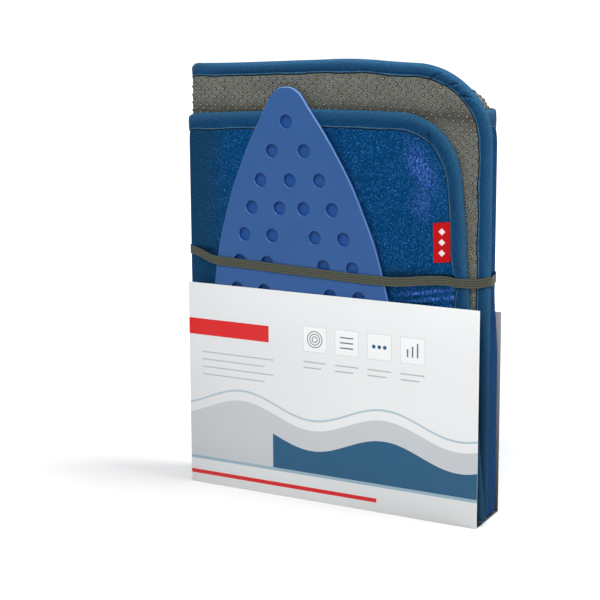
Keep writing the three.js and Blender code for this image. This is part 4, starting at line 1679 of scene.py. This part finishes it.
class IronRest:
    """The dimpled silicone plate that a hot iron is put down on."""

    SHARES = np.array(
        [
            (0, 0.003, 0.023, 0.06, 0.145, 0.22, 0.31, 0.4, 0.49, 0.58, 0.7, 0.82, 0.9, 0.958, 0.99, 1),
            (0, 0.07, 0.153, 0.222, 0.378, 0.5, 0.63, 0.73, 0.82, 0.88, 0.945, 0.985, 0.99, 0.94, 0.8, 0),
        ]
    )

    def __init__(self, roll: Roll, sizes: RestSizes) -> None:
        """Keeps the roll and the rest's sizes, and finds where its tip is."""
        self.roll = roll
        self.sizes = sizes
        tilt = math.radians(sizes.tilt_degrees)
        self.axis = np.array([math.cos(tilt), math.sin(tilt)])
        self.tip_x = sizes.base_offset - sizes.length * math.sin(tilt) - roll.offset
        self.tip_z = sizes.base_height + sizes.length * math.cos(tilt)

    def place(self, across: np.ndarray, from_tip: np.ndarray) -> tuple[np.ndarray, np.ndarray]:
        """Turns a place on the plate into x and z."""
        cos, sin = self.axis
        return self.tip_x + across * cos + from_tip * sin, self.tip_z + across * sin - from_tip * cos

    def half_width(self, from_tip: float) -> float:
        """Half of the plate's width at a distance from its tip."""
        share = from_tip / self.sizes.length
        return float(np.interp(share, *self.SHARES)) * self.sizes.width / 2

    def outline(self) -> np.ndarray:
        """The plate's outline through its shares of length and width, as points across and from the tip."""
        lengths, widths = self.SHARES
        knots = np.column_stack([widths * self.sizes.width / 2, lengths * self.sizes.length])
        padded = np.vstack([2 * knots[0] - knots[1], knots, 2 * knots[-1] - knots[-2]])
        padded[0] = knots[1] * np.array([-1, 1])
        points = []
        for k in range(1, len(padded) - 2):
            a, b, c, d = padded[k - 1 : k + 3]
            for step in np.linspace(0, 1, 12, endpoint=False):
                cubic = 2 * b + (c - a) * step + (2 * a - 5 * b + 4 * c - d) * step**2
                points.append((cubic + (3 * b - 3 * c + d - a) * step**3) / 2)
        curve = np.array([*points, knots[-1]])
        length = distances(curve)
        even = np.linspace(0, length[-1], 110)
        right = np.column_stack([np.interp(even, length, curve[:, k]) for k in range(2)])
        left = right[1:-1][::-1] * np.array([-1, 1])
        return np.vstack([right, left])

    def dimples(self) -> list[tuple[float, float]]:
        """The dimples' places: one, two, three, then four to a row."""
        size, found = self.sizes, []
        for row in range(size.rows):
            from_tip = size.first_row + row * size.row_pitch
            outer = self.half_width(from_tip) - size.edge_inset - size.tip_taper * max(0, 5 - row)
            low = min(max(0, row - 2), 3)
            slope = size.row_slope + size.slope_gain * low
            few = {0: [0.0], 1: [-outer, outer], 2: [-outer, 0.0, outer]}
            inner = outer - size.column_pitch
            shift, down = size.grid_shift, from_tip - size.grid_shift - size.low_row_rise * low
            for place in few.get(row, [-outer, -inner, inner, outer]):
                found.append((place - shift, down + slope * place))
        return found

    def build(self) -> Piece:
        """Makes the plate, sinks its dimples and dresses it."""
        size, front = self.sizes, self.roll.rest_front
        outline = self.outline()
        face = {"vertices": len(outline), "radius": 0.1, "fill_type": "NGON"}
        plate = added(bpy.ops.mesh.primitive_circle_add, **face)
        x, z = self.place(outline[:, 0], outline[:, 1])
        back = front + size.thickness
        co = np.stack([x, np.full_like(x, back), z], axis=1) * MM
        plate.data.vertices.foreach_set("co", co.astype(np.float32).ravel())
        plate.data.update()
        edit(plate)
        bpy.ops.mesh.extrude_region_move(TRANSFORM_OT_translate={"value": (0, -size.thickness * MM, 0)})
        bpy.ops.mesh.select_all(action="SELECT")
        bpy.ops.mesh.normals_make_consistent(inside=False)
        bpy.ops.object.mode_set(mode="OBJECT")
        sharp = {"limit_method": "ANGLE", "angle_limit": math.radians(60)}
        apply_modifier(plate, "BEVEL", width=size.rim_round * MM, segments=4, **sharp)
        cutters = []
        for across, from_tip in self.dimples():
            cx, cz = self.place(np.array(across), np.array(from_tip))
            cutter = {
                "vertices": 36,
                "radius": size.dimple_diameter / 2 * MM,
                "depth": 2 * size.dimple_depth * MM,
                "location": (float(cx) * MM, front * MM, float(cz) * MM),
                "rotation": (math.pi / 2, 0, 0),
            }
            cutters.append(added(bpy.ops.mesh.primitive_cylinder_add, **cutter))
        deselect()
        for cutter in cutters:
            cutter.select_set(True)
        bpy.context.view_layer.objects.active = cutters[0]
        bpy.ops.object.join()
        punch = cutters[0]
        apply_modifier(plate, "BOOLEAN", object=punch, operation="DIFFERENCE", solver="EXACT")
        bpy.data.objects.remove(punch)
        lip = {"width": size.dimple_round * MM, "segments": 3, **sharp}
        apply_modifier(plate, "BEVEL", harden_normals=True, **lip)
        shade_smooth(plate, 35)
        apply_modifier(plate, "WEIGHTED_NORMAL", keep_sharp=True, weight=100)
        settle(plate)
        material = Silicone().build((front + size.dimple_depth) * MM, front * MM)
        return dress(plate, "silicone_rest", "rest", material, ("iron_rest",))


class ElasticBand:
    """The narrow ribbed elastic round the mat and over the rest."""

    def __init__(self, roll: Roll, rest: IronRest, sizes: BandSizes) -> None:
        """Keeps what the band goes round, and its sizes."""
        self.roll = roll
        self.rest = rest
        self.sizes = sizes

    def contacts(self) -> np.ndarray:
        """The points, seen from above, that the band goes round."""
        roll, band = self.roll, self.sizes
        s = roll.stations(3.0, 7.0, 8)
        u = np.full_like(s, roll.across_at(band.height))
        round_roll = roll.folded(s, u, roll.cover_face)[:, :2]
        edge_s, edge_z = np.meshgrid([0.0, 1.0, 4.0, 8.0], band.height + np.array([3.0, 0.0, -5.0, -10.0]))
        edge = roll.folded(edge_s.ravel(), roll.across_at(edge_z.ravel()), roll.tape_face)
        level = -np.full(2, roll.across_at(band.height))
        rear = roll.folded(np.array([0.0, 0.0]), level, np.array([0.3, 3.4]))
        plate = []
        for slide in np.linspace(*self.rest.sizes.travel, 12):
            from_tip = (self.rest.tip_z + slide - band.height) / self.rest.axis[0]
            half = self.rest.half_width(from_tip)
            x, _ = self.rest.place(np.array([-half + 0.4, half - 0.4]), np.full(2, from_tip))
            plate += [(across, roll.rest_front) for across in x]
        return np.vstack([round_roll, edge[:, :2], rear[:, :2], np.array(plate)])

    def loop(self) -> np.ndarray:
        """The band's path seen from above, as an even, slightly rounded convex loop."""
        points = sorted(map(tuple, self.contacts()))

        def chain(row: list[tuple[float, float]]) -> list[tuple[float, float]]:
            """One side of the convex hull."""
            kept: list[tuple[float, float]] = []
            for point in row:
                while len(kept) > 1:
                    (ax, ay), (bx, by) = kept[-2:]
                    if (bx - ax) * (point[1] - by) - (by - ay) * (point[0] - bx) > 0:
                        break
                    kept.pop()
                kept.append(point)
            return kept[:-1]

        hull = np.array(chain(points) + chain(points[::-1]))
        ring = np.vstack([hull, hull[:1]])
        length = distances(ring)
        even = np.linspace(0, length[-1], 461)[:-1]
        path = np.column_stack([np.interp(even, length, ring[:, k]) for k in range(2)])
        for _ in range(3):
            path = (np.roll(path, 1, axis=0) + 2 * path + np.roll(path, -1, axis=0)) / 4
        ahead = np.roll(path, -1, axis=0) - np.roll(path, 1, axis=0)
        out = unit(np.column_stack([ahead[:, 1], -ahead[:, 0]]))
        return path + out * 0.5

    def heights(self, path: np.ndarray) -> np.ndarray:
        """How high the band lies at each place, as it was slipped on."""
        band, x = self.sizes, path[:, 0]
        front = smooth(-path[:, 1], -20, -9)
        corner = band.corner_rise * smooth(x, 113, 126) * (1 - smooth(path[:, 1], -10, 18))
        rise = band.left_rise * smooth(-x, 94, 126) + band.slope_rise * np.clip((26 - x) / 136, 0, 1)
        rise = rise + band.right_rise * smooth(x, 48, 90) - band.right_dip * smooth(x, 95, 99) + corner
        side = band.back_rise - band.back_fall * smooth(x, 100, 122)
        return band.height + np.where(front > 0, rise * front + side * (1 - front), side)

    def build(self) -> Piece:
        """Makes and dresses the band."""
        band = self.sizes
        path = self.loop()
        path = np.vstack([path, path[:1]])
        height = self.heights(path)
        ahead = np.gradient(path, axis=0)
        ahead[0] = ahead[-1] = path[1] - path[-2]
        out = unit(np.column_stack([ahead[:, 1], -ahead[:, 0]]))
        v = np.linspace(0, 1, 8 * band.ribs + 1)
        rise = band.thickness + band.rib_rise * (np.abs(np.sin(math.pi * band.ribs * v)) - 1)
        xy = path[:, None, :] + out[:, None, :] * rise[None, :, None]
        z = height[:, None] + (v[None, :] - 0.5) * band.width
        places = np.concatenate([xy, z[..., None]], axis=-1)
        flat = stacked(distances(path)[:, None], v[None, :] * band.width)
        i, j = places.shape[0] // 2, places.shape[1] // 2
        beyond = places[i, j] + np.array([out[i, 0], out[i, 1], 0.0])
        piece = cloth_grid(places, flat, beyond, ring=True)
        thicken(piece, band.ply, 60)
        material = RibbedElastic().build(band.width * MM, band.ribs)
        return dress(piece, "ribbed_band", "band", material, ("elastic_band",))


class CardWrap:
    """The card round the bottom, front and back of the mat."""

    def __init__(self, roll: Roll, sizes: WrapSizes) -> None:
        """Keeps the roll and the card's sizes."""
        self.roll = roll
        self.sizes = sizes

    def panel(self, node: str) -> Piece:
        """Makes one panel of card in its node's place, with softened edges.

        Args:
            node: The CAD node that it stands for.

        Returns:
            The panel.
        """
        low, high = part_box(node)
        piece = added(bpy.ops.mesh.primitive_cube_add, size=1.0, location=(low + high) / 2)
        piece.scale = high - low
        settle(piece)
        edit(piece)
        bpy.ops.mesh.subdivide(number_cuts=3)
        bpy.ops.object.mode_set(mode="OBJECT")
        edge = {"width": self.sizes.corner_round * MM, "segments": 3, "limit_method": "ANGLE"}
        apply_modifier(piece, "BEVEL", harden_normals=True, **edge)
        shade_smooth(piece, 35)
        return piece

    def build(self) -> list[Piece]:
        """Makes and dresses the three panels.

        Returns:
            The panels.
        """
        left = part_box("card_front_panel")[0].x
        outer = (-self.roll.card_depth / 2 + 0.12) * MM
        finish = CoatedCard()
        marks = (*FRONT_PRINT, *print_signs())
        made = []
        sides = (
            ("bottom", "base", (0, 0, 1), ()),
            ("front", "front", (0, 1, 0), marks),
            ("back", "back", (0, -1, 0), ()),
        )
        for side, body, inner, printed in sides:
            material = finish.build(f"{side}_card", inner, left, outer, printed)
            node = f"card_{side}_panel"
            made.append(dress(self.panel(node), f"card_{side}", f"card_{body}", material, (node,)))
        return made


@dataclass(frozen=True)
class CameraSizes:
    """Where the camera stands, in metres, how it turns, in degrees, and its lens."""

    place: tuple[float, float, float] = (0.52237, -1.03192, 0.39584)
    yaw: float = 28.442
    pitch: float = 10.393
    roll: float = -0.327
    lens_mm: float = 93.09
    shift_y: float = -0.06


@dataclass(frozen=True)
class Lamp:
    """A soft square lamp: its place and side, in metres, and its power in watts."""

    name: str
    place: tuple[float, float, float]
    size: float
    watts: float


LAMPS = (
    Lamp("key_lamp", (0.3, -1.35, 1.85), 1.0, 33),
    Lamp("top_lamp", (0.85, 0.2, 1.7), 0.6, 26),
    Lamp("fill_lamp", (-1.2, -2.1, 0.9), 1.4, 4),
)


class Studio:
    """The floor, the soft lamps and the camera."""

    AIM_HEIGHT = 0.16

    def __init__(self, camera: CameraSizes) -> None:
        """Keeps the camera's sizes."""
        self.camera = camera

    def floor(self) -> None:
        """Lays the pale floor, white to the camera apart from its soft shadows."""
        floor = added(bpy.ops.mesh.primitive_plane_add, size=12.0, location=(0, 0, -0.00005))
        floor.name = "studio_floor"
        g = Graph("studio_floor")
        tree = g.tree
        output = next(n for n in tree.nodes if n.type == "OUTPUT_MATERIAL")
        speck = g.noise(g.spot, 8, 2)
        tone = g.mix(speck, (0.56, 0.56, 0.56, 1), (0.58, 0.58, 0.58, 1))
        g.finish(tone, 0.9, Specular_IOR_Level=0.0)
        away = g.node("VectorMath", {0: g.spot}, operation="LENGTH").outputs["Value"]
        seen = g.node("BsdfDiffuse", {"Color": (0.62, 0.62, 0.62, 1)})
        glow = g.node("Emission", {"Strength": g.spread(away, 0.2, 0.9, 0.3, 1.0)})
        both = g.node("AddShader", {0: seen.outputs[0], 1: glow.outputs[0]})
        rays = g.node("LightPath")
        sharp = g.math("MAXIMUM", rays.outputs["Is Camera Ray"], rays.outputs["Is Transmission Ray"])
        sharp = g.math("MAXIMUM", sharp, rays.outputs["Is Glossy Ray"])
        mixed = g.node("MixShader", {0: sharp, 1: g.shader.outputs[0], 2: both.outputs[0]})
        tree.links.new(mixed.outputs[0], output.inputs[0])
        floor.data.materials.append(g.material)

    def world(self) -> None:
        """Sets the soft light from all round, and the white behind."""
        world = bpy.data.worlds.new("studio")
        bpy.context.scene.world = world
        world.use_nodes = True
        nodes, links = world.node_tree.nodes, world.node_tree.links
        nodes.clear()
        output = nodes.new("ShaderNodeOutputWorld")
        kinds = ("Background", "Background", "MixShader", "LightPath")
        soft, white, mixed, rays = (nodes.new("ShaderNode" + kind) for kind in kinds)
        soft.inputs["Color"].default_value = (0.93, 0.96, 1.0, 1)
        soft.inputs["Strength"].default_value = 0.34
        white.inputs["Strength"].default_value = 1.0
        white.inputs["Color"].default_value = (1, 1, 1, 1)
        links.new(rays.outputs["Is Camera Ray"], mixed.inputs[0])
        links.new(soft.outputs[0], mixed.inputs[1])
        links.new(white.outputs[0], mixed.inputs[2])
        links.new(mixed.outputs[0], output.inputs[0])

    def hang(self, lamp: Lamp) -> None:
        """Hangs one lamp, facing the object."""
        light = added(bpy.ops.object.light_add, type="AREA", location=lamp.place)
        light.name = lamp.name
        light.data.size = lamp.size
        light.data.energy = lamp.watts
        x, y, z = lamp.place
        light.rotation_euler = (math.atan2(math.hypot(x, y), z - self.AIM_HEIGHT), 0, math.atan2(x, -y))

    def eye(self) -> None:
        """Sets the camera at the photograph's viewing angle."""
        size = self.camera
        camera = added(bpy.ops.object.camera_add, location=size.place)
        camera.name = "eye"
        turned = Matrix.Rotation(math.radians(size.yaw), 3, "Z")
        pitched = Matrix.Rotation(math.radians(90 - size.pitch), 3, "X")
        rolled = Matrix.Rotation(math.radians(size.roll), 3, "Z")
        camera.rotation_euler = (turned @ pitched @ rolled).to_euler()
        camera.data.sensor_width = 36
        camera.data.lens = size.lens_mm
        camera.data.shift_y = size.shift_y
        camera.data.clip_start = 0.05
        camera.data.clip_end = 50
        bpy.context.scene.camera = camera

    def build(self) -> None:
        """Sets up the whole studio."""
        self.floor()
        self.world()
        for lamp in LAMPS:
            self.hang(lamp)
        self.eye()
        bpy.context.scene.view_settings.view_transform = "Standard"


def main() -> None:
    """Builds every sub-assembly round the frame, in order."""
    logging.basicConfig(level=logging.INFO, format="%(message)s")
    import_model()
    rest_sizes, wrap_sizes = RestSizes(), WrapSizes()
    roll = Roll(MatSizes(), rest_sizes, wrap_sizes)
    card = CardWrap(roll, wrap_sizes).build()
    LOG.info("card panels: %d", len(card))
    MatLayers(roll).build()
    binding = EdgeBinding(roll)
    binding.build()
    binding.stitches()
    GripDots(roll, GripDotSizes()).build()
    SewnLabel(roll, LabelSizes()).build()
    rest = IronRest(roll, rest_sizes)
    rest.build()
    ElasticBand(roll, rest, BandSizes()).build()
    Studio(CameraSizes()).build()


if __name__ == "__main__":
    main()
